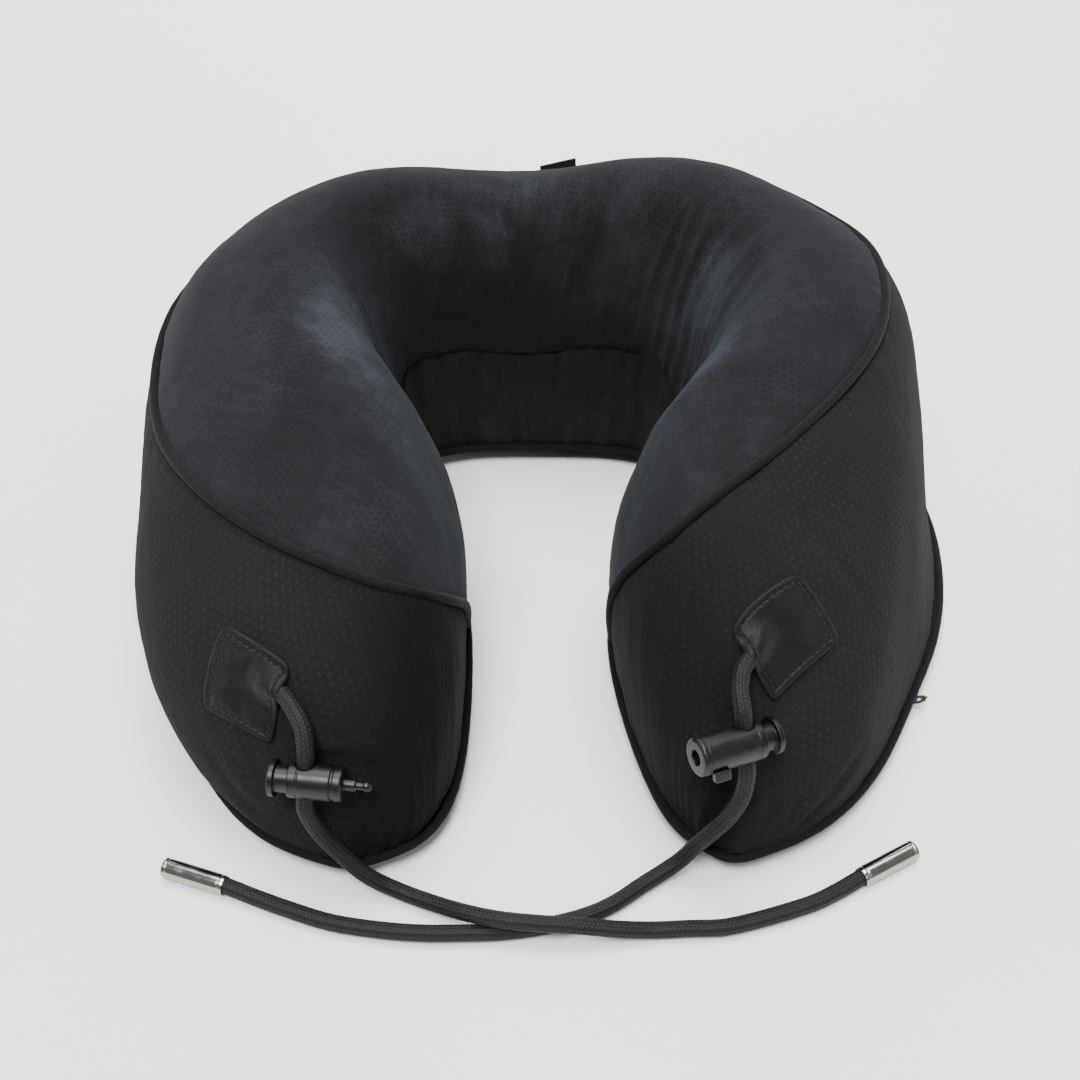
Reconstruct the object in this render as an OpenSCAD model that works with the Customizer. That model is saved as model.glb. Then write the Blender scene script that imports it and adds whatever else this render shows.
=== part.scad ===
// U shaped memory-foam neck pillow with a zipped cover, corded piping, leather-look patches,
// two braided neck cords, a plug-and-socket pair of cord locks and metal cord ends.
// Millimetres. +Z is up, the U opens towards -Y and the pillow rests on Z = 0.

/* [Cover] */
// Thickness of the padded cover fabric
cover_t = 2; // [1:0.1:2.5]
// Free gap between the cover and the foam core
foam_gap = 2.4; // [2:0.1:3]
// Diameter of the corded piping
piping_d = 3; // [2:0.1:3.4]
// Height of the lower seam above the floor
seam_z = 7; // [6:0.5:9]
// Width of the rounded rim under the lower seam
rim_w = 9; // [7:0.5:12]

/* [Patches and label] */
// Thickness of a patch
patch_t = 1.2; // [0.8:0.1:1.6]
// Length of one stitch on a patch
stitch_l = 1.9; // [1.2:0.1:2.4]
// Width of the woven label
label_w = 15; // [12:1:24]
// Height of the woven label
label_h = 6; // [5:0.5:12]

/* [Cords and tips] */
// Diameter of a neck cord
cord_d = 5.2; // [4.6:0.1:5.3]
// Length of a metal cord end
tip_l = 21.5; // [16:0.5:24]
// Diameter of a metal cord end
tip_d = 6.4; // [6.3:0.1:7]
// Depth of the crimped socket in a cord end
tip_socket = 9; // [7:0.5:12]

/* [Cord locks] */
// Diameter of the plug lock's barrel
plug_barrel_d = 11; // [10.4:0.1:11.2]
// Diameter of the socket lock's barrel
socket_barrel_d = 11.8; // [11:0.1:12]
// Diameter of the plungers
plunger_d = 8.4; // [8:0.1:8.6]
// Diametral running clearance of a plunger
plunger_clear = 0.16; // [0.1:0.02:0.2]
// Travel of a plunger
plunger_travel = 2.5; // [1.5:0.1:2.5]
// Diameter of a plunger's thumb flange
flange_d = 11.4; // [10:0.1:12]
// Diameter of the plug's stud
stud_d = 3.8; // [3.4:0.1:4.2]
// Diameter of the socket
socket_d = 4.7; // [4.5:0.1:5]

/* [Zip] */
// Radius of the zip's arc, measured at the lower seam
zip_r = 166; // [165.5:0.1:166.5]
// Width of each zip tape
tape_w = 2.5; // [2:0.1:2.6]
// Diameter of the zip coil
coil_d = 1.5; // [1.2:0.1:1.6]
// Length of the zip pull
pull_l = 7.8; // [7:0.2:12]
// Width of the zip pull
pull_w = 4.6; // [4:0.2:6]

/* [Hidden] */
$fn = 48;

// Stations along the U, from the left tip round the back to the right tip:
// outer seam x, y, inner seam x, y, height, ridge place (0 outer to 1 inner),
// outer bulge low and high, inner bulge low and high, shoulder height as a share.
STATIONS = [
    [-64, -143, -62, -143, 8, .5, 0, 0, 0, 0, .9],
    [-89.5, -135, -40.5, -136, 41, .6, 4, 2, 0, 0, .84],
    [-110, -113, -30.5, -116, 73, .7, 10, 3, 0, 0, .79],
    [-126, -82, -28.5, -84, 90, .72, 13, 3, 0, 0, .81],
    [-137, -46, -29, -50, 100, .68, 12, 5, 1, 1, .85],
    [-142.5, -8, -32, -16, 107, .64, 7, 5, 2, 1, .90],
    [-148, 30, -51, 10, 112, .60, 5, 7, 2, 0, .90],
    [-146, 70, -64, 36, 116, .56, 5, 7, 0, -1, .89],
    [-125, 105, -57, 60, 118, .54, 4, 4, -1, -2, .88],
    [-89, 129, -37, 67, 119, .52, 5, 4, -3, -4, .92],
    [-48, 137, -19, 68, 115, .52, 4, 4, -3, -4, .93],
    [-3, 139, -5, 68, 112, .52, 4, 4, -3, -4, .93],
    [42, 138, 9, 68, 118, .52, 4, 4, -3, -4, .93],
    [91, 131, 29, 67, 125, .52, 4, 3, -3, -4, .92],
    [126, 106, 52, 59, 116, .54, 4, 5, -1, -2, .90],
    [142, 74, 59, 36, 116, .56, 4, 6, 0, -1, .92],
    [152, 32, 47, 10, 112, .60, -7, -10, 2, 0, .92],
    [151, -6, 26, -16, 107, .64, -10, -17, 3, 1, .92],
    [142, -44, 22, -50, 101, .68, -8, -15, 3, 2, .88],
    [125, -75, 27, -84, 91, .72, -4, -11, 2, 2, .83],
    [110, -106, 34, -113, 73, .7, -1, -5, 1, 1, .80],
    [86.5, -131, 42, -132, 40, .6, 0, -1, 0, 0, .84],
    [59, -141, 57, -141, 8, .5, 0, 0, 0, 0, .9]
];
LAST = len(STATIONS) - 1;
U0 = 0.05; // where the cover closes at a tip

// The upper seam as places on the surface: station number, and 0 outer seam to 8 inner seam.
UPPER_SEAM = [
    [4.3, 7.9], [3.9, 6.9], [3.12, 5.93], [2.67, 5.08], [2.59, 4.36], [2.76, 3.88], [3.12, 3.43],
    [3.58, 3.08], [4.2, 2.7], [5.2, 2.2], [6.5, 2.33], [8, 2.5], [9.5, 2.8], [11, 2.9],
    [12.5, 2.9], [13.7, 2.9], [14.6, 3.0], [15.4, 3.0], [16.3, 3.03], [17.1, 3.25], [17.74, 3.56],
    [18.27, 3.89], [18.68, 4.43], [18.78, 5.18], [18.55, 5.8], [18.2, 6.6], [17.9, 7.9]
];
// The inner bottom edge of the top cover, station numbers matched to the upper seam's places.
INNER_EDGE_U = [4.3, 4.33, 4.4, 4.45, 4.5, 4.6, 4.7, 4.8, 5.0, 5.5, 6.6, 8, 9.5, 11, 12.5, 13.7,
    14.6, 15.4, 16.2, 16.8, 17.1, 17.3, 17.45, 17.6, 17.7, 17.8, 17.9];
// The lower edge of the side cover, matched in the same way.
LOWER_EDGE = [
    [4.3, 8], [3.6, 8], [2.6, 8], [1.2, 8], [U0, 8], [U0, 5.3], [U0, 2.7], [U0, 0], [1.5, 0],
    [4, 0], [6, 0], [8, 0], [9.5, 0], [11, 0], [12.5, 0], [13.7, 0], [14.9, 0], [16.2, 0],
    [18.2, 0], [20.5, 0], [LAST - U0, 0], [LAST - U0, 2.7], [LAST - U0, 5.3], [LAST - U0, 8],
    [20.8, 8], [19.2, 8], [17.9, 8]
];
SEAM_N = len(UPPER_SEAM) - 1;

// ---- curves and surface ----
function unit(a) = a / max(norm(a), 0.000001);
function ext(P, k) = k < 0 ? 2 * P[0] - P[1] : k > len(P) - 1 ? 2 * P[len(P) - 1] - P[len(P) - 2] : P[k];
// smooth curve guided by the points of P, through its two ends
function bsp(P, t) = let (i = min(max(floor(t), 0), len(P) - 2), f = t - i)
    (pow(1 - f, 3) * ext(P, i - 1) + (3 * f * f * f - 6 * f * f + 4) * ext(P, i)
    + (-3 * f * f * f + 3 * f * f + 3 * f + 1) * ext(P, i + 1) + f * f * f * ext(P, i + 2)) / 6;
// straight run between the points of P
function lin(P, t) = let (i = min(max(floor(t), 0), len(P) - 2), f = t - i) (1 - f) * P[i] + f * P[i + 1];
// curve through the points of P
function thru(P, t) = let (i = min(max(floor(t), 0), len(P) - 2), f = t - i,
    a = ext(P, i - 1), b = P[i], c = P[i + 1], d = ext(P, i + 2))
    0.5 * (2 * b + (c - a) * f + (2 * a - 5 * b + 4 * c - d) * f * f + (3 * b - 3 * c + d - a) * f * f * f);
function step01(x) = let (c = min(max(x, 0), 1)) c * c * (3 - 2 * c);

function station_profile(s) = let (
    o = [s[0], s[1]], i = [s[2], s[3]], w = norm(i - o), e = unit(i - o), h = s[4], c = s[5],
    up = function(k) seam_z + (h - seam_z) * k,
    at = function(d, k) [o[0] + e[0] * d, o[1] + e[1] * d, up(k)])
    [at(0, 0), at(-s[6], .24), at(-s[7], .58), at(-s[7] * .5 + c * w * .34, s[10]), at(c * w, 1.04),
    at(c * w + (w - c * w) * .58, .95), at(w + s[9], .60), at(w + s[8], .24), at(w, 0)];
PROFILES = [for (s = STATIONS) station_profile(s)];
function column(u) = bsp(PROFILES, u);
function skin(u, v) = bsp(column(u), v);
// outward direction of the cover at a place
function out(u, v) = let (d = 0.04, a = min(max(u, 0.25), LAST - 0.25), b = min(max(v, d), 8 - d))
    unit(cross(skin(a, b + d) - skin(a, b - d), skin(a + d, b) - skin(a - d, b)));
function lifted(p, h) = skin(p[0], p[1]) + h * out(p[0], p[1]);

// ---- solids from grids ----
function quads(n, m, o, flip) = [for (i = [0:n - 2], j = [0:m - 2])
    let (a = o + i * m + j, b = a + m, c = b + 1, d = a + 1)
    each flip ? [[a, b, c], [a, c, d]] : [[a, c, b], [a, d, c]]];
// closed slab between two grids of n rows by m points
module slab(A, B) {
    n = len(A); m = len(A[0]); k = n * m;
    pts = [for (r = A) each r, for (r = B) each r];
    rim = [for (i = [0:n - 2]) each [[i * m, i * m + k, i * m + m], [i * m + m, i * m + k, i * m + m + k],
            [i * m + m - 1, i * m + 2 * m - 1, i * m + m - 1 + k], [i * m + 2 * m - 1, i * m + 2 * m - 1 + k, i * m + m - 1 + k]],
        for (j = [0:m - 2]) each [[j, j + 1, j + k], [j + 1, j + 1 + k, j + k],
            [(n - 1) * m + j, (n - 1) * m + j + k, (n - 1) * m + j + 1], [(n - 1) * m + j + 1, (n - 1) * m + j + k, (n - 1) * m + j + 1 + k]]];
    polyhedron(pts, concat(quads(n, m, 0, true), quads(n, m, k, false), rim), convexity = 10);
}
// closed skin over rings of points, with flat ends
module rings(R) {
    n = len(R); m = len(R[0]);
    pts = [for (r = R) each r];
    polyhedron(pts, concat([for (i = [0:n - 2], j = [0:m - 1]) let (a = i * m + j, b = i * m + (j + 1) % m)
        each [[a, a + m, b], [b, a + m, b + m]]],
        [for (j = [1:m - 2]) [0, j, j + 1]], [for (j = [1:m - 2]) [(n - 1) * m, (n - 1) * m + j + 1, (n - 1) * m + j]]), convexity = 10);
}
// round tube of radius r along the points of P
function tangents(P) = [for (i = [0:len(P) - 1]) unit(P[min(i + 1, len(P) - 1)] - P[max(i - 1, 0)])];
function across(n, t) = unit(n - (n * t) * t);
function frames(P, T, up) = [for (i = 0, n = across(up, T[0]); i < len(P); i = i + 1, n = i < len(P) ? across(n, T[i]) : n) n];
module tube(P, r, sides, up = [0.3, 0.2, 1]) {
    T = tangents(P); N = frames(P, T, up);
    rings([for (i = [0:len(P) - 1]) let (b = cross(T[i], N[i]))
        [for (k = [0:sides - 1]) P[i] + r * (cos(360 * k / sides) * N[i] + sin(360 * k / sides) * b)]]);
}

// ---- cover ----
NT = 2 * SEAM_N;
function seam_at(t) = bsp(UPPER_SEAM, t);
function band_v(u) = 8 - 1.5 * step01((u - 6.3) / 1.9) * step01((15.6 - u) / 2.2);
function inner_edge(t) = let (u = lin(INNER_EDGE_U, t)) [u, u < 4.31 ? 7.95 : u > 17.89 ? 7.95 : band_v(u)];

module velour_panel() color("#1b2230") {
    g = [for (i = [0:NT]) let (t = i / 2, a = seam_at(t), b = inner_edge(t)) [for (j = [0:12]) a + (b - a) * j / 12]];
    slab([for (r = g) [for (p = r) lifted(p, 0)]], [for (r = g) [for (p = r) lifted(p, -cover_t)]]);
}
module side_panel() color("#15161a") {
    g = [for (i = [0:NT]) let (t = i / 2, a = lin(LOWER_EDGE, t), b = seam_at(t)) [for (j = [0:9]) a + (b - a) * j / 9]];
    slab([for (r = g) [for (p = r) lifted(p, 0)]], [for (r = g) [for (p = r) lifted(p, -cover_t)]]);
}
module inner_band() color("#0e1016") {
    g = [for (i = [0:18]) let (u = 6.5 + 8.9 * i / 18) [for (j = [0:3]) [u, band_v(u) + (8 - band_v(u)) * (j + 0.02) / 3.02]]];
    slab([for (r = g) [for (p = r) lifted(p, 0)]], [for (r = g) [for (p = r) lifted(p, -cover_t)]]);
}
function base_row(u) = let (o = skin(u, 0), i = skin(u, 8), w = norm(i - o), e = (i - o) / w,
    r = min(rim_w, 0.36 * w), z = (seam_z - 0.4) * (1 - min(1, w / 24)), h = seam_z - 0.4,
    at = function(d, k) [o[0] + e[0] * d, o[1] + e[1] * d, k])
    [[at(0, h), at(r / 2, z + (h - z) * .47), at(r, z), at(w / 2, z), at(w - r, z), at(w - r / 2, z + (h - z) * .47), at(w, h)],
    [at(0, h + .3), at(r / 2, z + (h - z) * .47 + cover_t), at(r, min(z + cover_t, h + .3)), at(w / 2, min(z + cover_t, h + .3)),
        at(w - r, min(z + cover_t, h + .3)), at(w - r / 2, z + (h - z) * .47 + cover_t), at(w, h + .3)]];
function tip_steps() = [U0, 0.2, 0.5];
function along_u(n) = concat(tip_steps(), [for (i = [2:n - 2]) LAST * i / n], [for (k = [2:-1:0]) LAST - tip_steps()[k]]);
module base_panel() color("#101114") {
    g = [for (u = along_u(44)) base_row(u)];
    slab([for (r = g) r[1]], [for (r = g) r[0]]);
}
module upper_piping() color("#17191d")
    tube([for (i = [0:3 * SEAM_N]) lifted(seam_at(i / 3), 0.6)], piping_d / 2, 8);
module lower_piping() color("#101114") {
    us = concat([0, 0.2, 0.5], [for (i = [1:42]) LAST * i / 43 + 0.0], [LAST - 0.5, LAST - 0.2]);
    outer = [for (u = us) skin(u, 0) - 0.6 * unit(skin(u, 8) - skin(u, 0) + [0, 0, 0])];
    inner = [for (k = [len(us) - 1:-1:0]) skin(us[k], 8) + 0.6 * unit(skin(us[k], 8) - skin(us[k], 0))];
    loop = concat([for (k = [1:len(outer) - 1]) outer[k]], [skin(LAST, 0) + [0.2, -0.6, 0]],
        [for (k = [0:len(inner) - 2]) inner[k]], [skin(0, 0) + [-0.2, -0.6, 0]]);
    n = len(loop);
    R = [for (i = [0:n - 1]) let (t = unit(loop[(i + 1) % n] - loop[(i + n - 1) % n]), a = cross(t, [0, 0, 1]))
        [for (k = [0:7]) loop[i] + piping_d / 2 * (cos(45 * k) * a + sin(45 * k) * [0, 0, 1])]];
    pts = [for (r = R) each r];
    polyhedron(pts, [for (i = [0:n - 1], j = [0:7]) let (a = i * 8 + j, b = i * 8 + (j + 1) % 8, c = ((i + 1) % n) * 8 + j, d = ((i + 1) % n) * 8 + (j + 1) % 8)
        each [[a, b, c], [b, d, c]]], convexity = 10);
}
function foam_ring(u) = let (g = cover_t + foam_gap, vs = [for (j = [0:16]) j / 2],
    o = skin(u, 0), i = skin(u, 8), w = norm(i - o), e = (i - o) / w,
    r = min(rim_w + 1, 0.36 * w), z = 3.2 + (seam_z - 3.4) * (1 - min(1, w / 24)))
    concat([for (v = vs) lifted([u, v], -g)], [[i[0] - e[0] * r, i[1] - e[1] * r, z], [o[0] + e[0] * r, o[1] + e[1] * r, z]]);
module foam_core() color("#d9d2c0")
    rings([for (u = concat([0.55, 0.8], [for (i = [2:42]) LAST * i / 44], [LAST - 0.8, LAST - 0.55])) foam_ring(u)]);

// ---- patches, label ----
LEFT_PATCH = [[2.6, 2.86], [2.02, 3.41], [1.4, 2.98], [1.98, 2.2]];
RIGHT_PATCH = [[19.25, 3.47], [19.74, 2.94], [20.45, 3.69], [19.86, 4.29]];
function on_patch(C, s, t) = (1 - s) * (1 - t) * C[0] + s * (1 - t) * C[1] + s * t * C[2] + (1 - s) * t * C[3];
// a corner is rounded off by pulling its grid point in along the diagonal
function rounded(s, t) = let (k = 0.035, a = abs(s - .5) * 2, b = abs(t - .5) * 2, c = k * pow(a * b, 6))
    [s + (s < .5 ? c : -c), t + (t < .5 ? c : -c)];
module patch(C) {
    g = [for (i = [0:7]) [for (j = [0:7]) let (q = rounded(i / 7, j / 7)) on_patch(C, q[0], q[1])]];
    slab([for (r = g) [for (p = r) lifted(p, 0.35 + patch_t)]], [for (r = g) [for (p = r) lifted(p, 0.35)]]);
}
module stitches(C) {
    inset = 0.09; n = 8;
    for (side = [0:3], k = [0:n - 1]) {
        s0 = inset + (1 - 2 * inset) * (k + 0.5) / n;
        q = function(x) side == 0 ? [x, inset] : side == 1 ? [1 - inset, x] : side == 2 ? [x, 1 - inset] : [inset, x];
        p = on_patch(C, q(s0)[0], q(s0)[1]);
        a = lifted(on_patch(C, q(s0 - 0.01)[0], q(s0 - 0.01)[1]), patch_t + 0.35);
        b = lifted(on_patch(C, q(s0 + 0.01)[0], q(s0 + 0.01)[1]), patch_t + 0.35);
        m = lifted(p, patch_t + 0.6); e = unit(b - a); nrm = out(p[0], p[1]); w = cross(nrm, e);
        slab([for (i = [-1, 1]) [for (j = [-1, 1]) m + i * e * stitch_l / 2 + j * w * 0.3 - nrm * 0.2]],
            [for (i = [-1, 1]) [for (j = [-1, 1]) m + i * e * stitch_l / 2 + j * w * 0.3 + nrm * 0.2]]);
    }
}
module left_patch() color("#1d1d1f") patch(LEFT_PATCH);
module right_patch() color("#1d1d1f") patch(RIGHT_PATCH);
module left_patch_thread() color("#3a3a3d") stitches(LEFT_PATCH);
module right_patch_thread() color("#3a3a3d") stitches(RIGHT_PATCH);
module back_label() color("#0c0c0e")
    translate(lifted([11.2, 2.9], 0.6)) rotate([-4, -4, -1]) translate([-label_w / 2, -0.5, piping_d / 2 + 0.8]) cube([label_w, 1, label_h]);

// ---- cord locks: local +X runs from the thumb flange to the plug or socket, local +Z up the cord ----
LEFT_LOCK = [-73, -137.5, 42];
RIGHT_LOCK = [57.5, -133.2, 54];
module at_left_lock() translate(LEFT_LOCK) rotate([0, 0, -7]) rotate([-24, 0, 0]) children();
module at_right_lock() translate(RIGHT_LOCK) rotate([0, 0, 207]) rotate([26, 0, 0]) rotate([0, -6.4, 0]) children();
module rod(x0, x1, d) translate([x0, 0, 0]) rotate([0, 90, 0]) cylinder(d = d, h = x1 - x0);
bore_d = plunger_d + plunger_clear;
cord_hole = cord_d + 1;
slot_w = cord_d + 0.7;
mouth_x = -4.8;
module left_lock_barrel() color("#08080a") at_left_lock() {
    difference() {
        union() {
            rod(mouth_x, 8.3, plug_barrel_d);
            rod(8.3, 8.9, plug_barrel_d - 1);
            rod(8.9, 11.7, plug_barrel_d - 0.2);
            rod(11.7, 15.4, stud_d);
            rod(15.4, 17.9, stud_d - 1.2);
            rod(17.9, 19.3, stud_d - 0.6);
            translate([19.3, 0, 0]) rotate([0, 90, 0]) cylinder(d1 = stud_d - 0.6, d2 = stud_d - 1.8, h = 0.8);
        }
        rod(mouth_x - 1, 9.2, bore_d);
        cylinder(d = cord_hole, h = 20, center = true);
    }
}
module plunger(inner_x) {
    difference() {
        union() {
            rod(-10.5, inner_x, plunger_d);
            rod(-10.5, -8.8, flange_d);
        }
        hull() {
            cylinder(d = slot_w, h = 20, center = true);
            translate([-plunger_travel, 0, 0]) cylinder(d = slot_w, h = 20, center = true);
        }
        rod(inner_x - 0.8, inner_x + 1, 5);
    }
}
module left_lock_plunger() color("#08080a") at_left_lock() plunger(4.6);
function coil_points(x0, x1, r, turns) = [for (i = [0:turns * 10]) let (a = 36 * i) [x0 + (x1 - x0) * i / (turns * 10), r * cos(a), r * sin(a)]];
module left_lock_spring() color("#b8b8b8") at_left_lock() tube(coil_points(4.95, 8.85, 3.1, 4), 0.25, 6, [1, 0, 0.2]);
module right_lock_barrel() color("#08080a") at_right_lock() {
    difference() {
        union() {
            rod(mouth_x, 16.2, socket_barrel_d);
            translate([16.2, 0, 0]) rotate([0, 90, 0]) cylinder(d1 = socket_barrel_d, d2 = socket_barrel_d - 1.2, h = 0.6);
            translate([8.5, 3.6, -6.8]) cube([5.4, 2.6, 3.4]);
        }
        rod(mouth_x - 1, 8, bore_d);
        rod(9.8, 18, socket_d);
        cylinder(d = cord_hole, h = 24, center = true);
    }
}
module right_lock_plunger() color("#08080a") at_right_lock() plunger(4.2);
module right_lock_spring() color("#b8b8b8") at_right_lock() tube(coil_points(4.55, 7.65, 3.1, 3), 0.25, 6, [1, 0, 0.2]);

// ---- cords: centreline points, in millimetres ----
LEFT_ROUTE = [
    [-79.5, -119.5, 59], [-76.5, -123.5, 58], [-73.5, -128.5, 55.5], [-72.5, -133.5, 51.1], [-72.75, -135.5, 46.6],
    [-73, -137.5, 42], [-73.25, -139.5, 37.4], [-73.5, -141.5, 32.9], [-70.5, -142.5, 24], [-64.5, -144.7, 15.8],
    [-57, -147.5, 8.5], [-48, -149.5, 3.6], [-37, -154, 3.4], [-25, -160, 6.5], [-14, -163.3, 7.9],
    [-3, -164.5, 7.9], [8, -165, 7.5], [20, -164.6, 5], [31, -163.5, 2.8], [42, -163, 2.8], [53, -162.5, 2.8],
    [65, -159.5, 2.8], [80, -154.5, 2.8], [89, -150, 2.8], [97.5, -145, 3.2], [104.2, -141.2, 3.2]
];
RIGHT_ROUTE = [
    [57.5, -116, 67.5], [56.4, -119.6, 66.6], [55.9, -124, 65.8], [56.5, -128.8, 62.9], [57, -131, 58.5],
    [57.5, -133.2, 54], [58, -135.4, 49.5], [58.5, -137.6, 45.1], [57.6, -139.4, 36.5], [54.3, -140, 27.5],
    [49.8, -140.2, 20], [45.5, -140, 13], [41.5, -141, 7.6], [36.5, -143, 4.4], [29, -147.5, 3], [20, -154, 2.8],
    [11, -158.5, 2.8], [-1, -162, 2.8], [-14, -164, 2.8], [-25, -164.5, 2.8], [-40, -164.5, 2.8], [-55, -163, 2.8],
    [-68, -160.5, 2.8], [-81, -156, 2.8], [-92, -151.6, 2.8], [-101, -148, 3.2], [-107.4, -145.8, 3.2]
];
function route(P) = [for (i = [0:len(P) - 1]) each i < len(P) - 1 ? [P[i], thru(P, i + 0.5)] : [P[i]]];
module left_cord() color("#1a1a1d") tube(route(LEFT_ROUTE), cord_d / 2, 10, [1, 0, 0.2]);
module right_cord() color("#1a1a1d") tube(route(RIGHT_ROUTE), cord_d / 2, 10, [1, 0, 0.2]);
module tip(from, angle) translate(from) rotate([0, 0, angle]) rotate([0, 90, 0]) difference() {
    union() {
        cylinder(d = tip_d - 0.2, h = tip_l);
        translate([0, 0, 0.4]) cylinder(d = tip_d, h = tip_l - 1.6);
        translate([0, 0, tip_l - 0.8]) cylinder(d = tip_d, h = 0.8);
    }
    translate([0, 0, -1]) cylinder(d = cord_d + 0.3, h = tip_socket + 1);
}
module left_cord_tip() color("#d8d8dc") tip([97.5, -145, 3.2], 29.6);
module right_cord_tip() color("#d8d8dc") tip([-101, -148, 3.2], 161);

// ---- zip, on a true arc under the lower seam ----
ZIP_CENTRE = [-15, 15, 0];
ZIP_FROM = -32.8;
ZIP_TO = 28;
rim_angle = atan2(seam_z - 0.4, rim_w); // slope of the rim the zip is sewn to
// a place on the rim: s along it from the seam, h out from it; gives radius and height
function rim_at(s, h) = [zip_r - s * cos(rim_angle) + h * sin(rim_angle), seam_z - 0.4 - s * sin(rim_angle) - h * cos(rim_angle)];
module zip_arc(a0, a1) translate(ZIP_CENTRE) rotate([0, 0, a0]) rotate_extrude(angle = a1 - a0, $fn = 180) children();
module rim_bar(s0, s1, h0, h1) polygon([rim_at(s0, h0), rim_at(s1, h0), rim_at(s1, h1), rim_at(s0, h1)]);
coil_s = 3.6;
coil_h = 1.15 + coil_d / 2;
module zip_tapes() color("#141416") zip_arc(ZIP_FROM, ZIP_TO) {
    rim_bar(coil_s - 0.15 - tape_w, coil_s - 0.15, 0.55, 1.05);
    rim_bar(coil_s + 0.15, coil_s + 0.15 + tape_w, 0.55, 1.05);
}
module zip_coil() color("#1c1c1f") zip_arc(ZIP_FROM + 0.5, ZIP_TO - 0.5) translate(rim_at(coil_s, coil_h)) circle(d = coil_d);
module zip_stops() color("#9a9aa0") {
    zip_arc(ZIP_FROM + 0.05, ZIP_FROM + 0.45) rim_bar(coil_s - 1.2, coil_s + 1.2, 1.15, 2.6);
    zip_arc(ZIP_TO - 0.45, ZIP_TO - 0.05) rim_bar(coil_s - 1.2, coil_s + 1.2, 1.15, 2.6);
}
SLIDER_FROM = ZIP_FROM + 0.7;
SLIDER_DEG = 2.6;
SLIDER_TRAVEL = ZIP_TO - ZIP_FROM - 4.4;
PULL_AT = SLIDER_FROM + 1.15;
module zip_slider() color("#8f9096") {
    zip_arc(SLIDER_FROM, SLIDER_FROM + SLIDER_DEG) {
        rim_bar(coil_s - 2, coil_s + 2, 3, 3.5);
        rim_bar(coil_s - 2, coil_s - 1.3, 1.35, 3.05);
        rim_bar(coil_s + 1.3, coil_s + 2, 1.35, 3.05);
    }
    zip_arc(PULL_AT - 0.15, PULL_AT + 0.15) {
        rim_bar(coil_s - 1.05, coil_s + 1.05, 4.3, 4.65);
        rim_bar(coil_s - 1.05, coil_s - 0.75, 3.45, 4.65);
        rim_bar(coil_s + 0.75, coil_s + 1.05, 3.45, 4.65);
    }
}
// the pull lies on the slider and reaches out past the seam; its local +X runs along it, away from the slider
module at_pull() translate(ZIP_CENTRE) rotate([0, 0, PULL_AT])
    translate([rim_at(coil_s, 3.9)[0], 0, rim_at(coil_s, 3.9)[1]]) rotate([0, -rim_angle, 0]) children();
module zip_pull() color("#d8d4cc") at_pull() difference() {
    union() {
        translate([-0.25, -1.7, -0.17]) cube([2.4, 3.4, 0.34]);
        translate([2, -pull_w / 2, -0.17]) cube([pull_l - 4, pull_w, 0.34]);
        translate([pull_l - 2.2, -pull_w / 2 + 0.8, -0.17]) cube([2.2, pull_w - 1.6, 0.34]);
        for (j = [-1, 1]) translate([pull_l - 2.2, j * (pull_w / 2 - 1.2), -0.17]) cylinder(r = 1.2, h = 0.34);
    }
    translate([0.25, -1, -1]) cube([1.3, 2, 2]);
    translate([pull_l - 3, 0, -1]) cylinder(d = 1.6, h = 2);
}

// the pillow's middle is brought over the origin
module placed() translate([0, 1.5, 0]) children();

placed() foam_core();
placed() velour_panel();
placed() side_panel();
placed() inner_band();
placed() base_panel();
placed() upper_piping();
placed() lower_piping();
placed() zip_tapes();
placed() zip_coil();
placed() zip_stops();
placed() zip_slider();
placed() zip_pull();
placed() back_label();
placed() left_patch();
placed() right_patch();
placed() left_patch_thread();
placed() right_patch_thread();
placed() left_cord();
placed() right_cord();
placed() left_cord_tip();
placed() right_cord_tip();
placed() left_lock_barrel();
placed() left_lock_plunger();
placed() left_lock_spring();
placed() right_lock_barrel();
placed() right_lock_plunger();
placed() right_lock_spring();
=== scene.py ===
import bpy
import math
import numpy as np
from mathutils import Matrix, Vector


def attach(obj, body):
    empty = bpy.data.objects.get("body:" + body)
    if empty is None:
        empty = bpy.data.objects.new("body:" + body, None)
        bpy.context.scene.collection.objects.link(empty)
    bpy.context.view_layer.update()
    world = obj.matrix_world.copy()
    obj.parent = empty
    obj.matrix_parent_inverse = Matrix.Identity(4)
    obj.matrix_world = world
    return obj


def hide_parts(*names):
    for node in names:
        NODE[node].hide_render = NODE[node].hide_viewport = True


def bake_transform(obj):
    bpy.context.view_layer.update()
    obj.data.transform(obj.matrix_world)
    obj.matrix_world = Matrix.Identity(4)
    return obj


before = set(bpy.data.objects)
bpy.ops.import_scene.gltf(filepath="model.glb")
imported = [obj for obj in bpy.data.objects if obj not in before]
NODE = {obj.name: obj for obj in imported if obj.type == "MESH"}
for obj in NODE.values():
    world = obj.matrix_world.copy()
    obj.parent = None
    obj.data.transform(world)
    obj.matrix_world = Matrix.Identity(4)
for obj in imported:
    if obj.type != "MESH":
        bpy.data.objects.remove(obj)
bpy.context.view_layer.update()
MM = 0.001
SHIFT = np.array([0.0, 1.5, 0.0])

# ------------------------------------------------------------------ camera, floor, light
cam_data = bpy.data.cameras.new("camera")
cam = bpy.data.objects.new("camera", cam_data)
bpy.context.scene.collection.objects.link(cam)
cam.location = (-0.003, -0.3985, 0.375)
cam.rotation_euler = (math.radians(48), 0, 0)
cam_data.sensor_width = 36
cam_data.lens = 46.667
cam_data.clip_start = 0.01
bpy.context.scene.camera = cam


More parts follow.
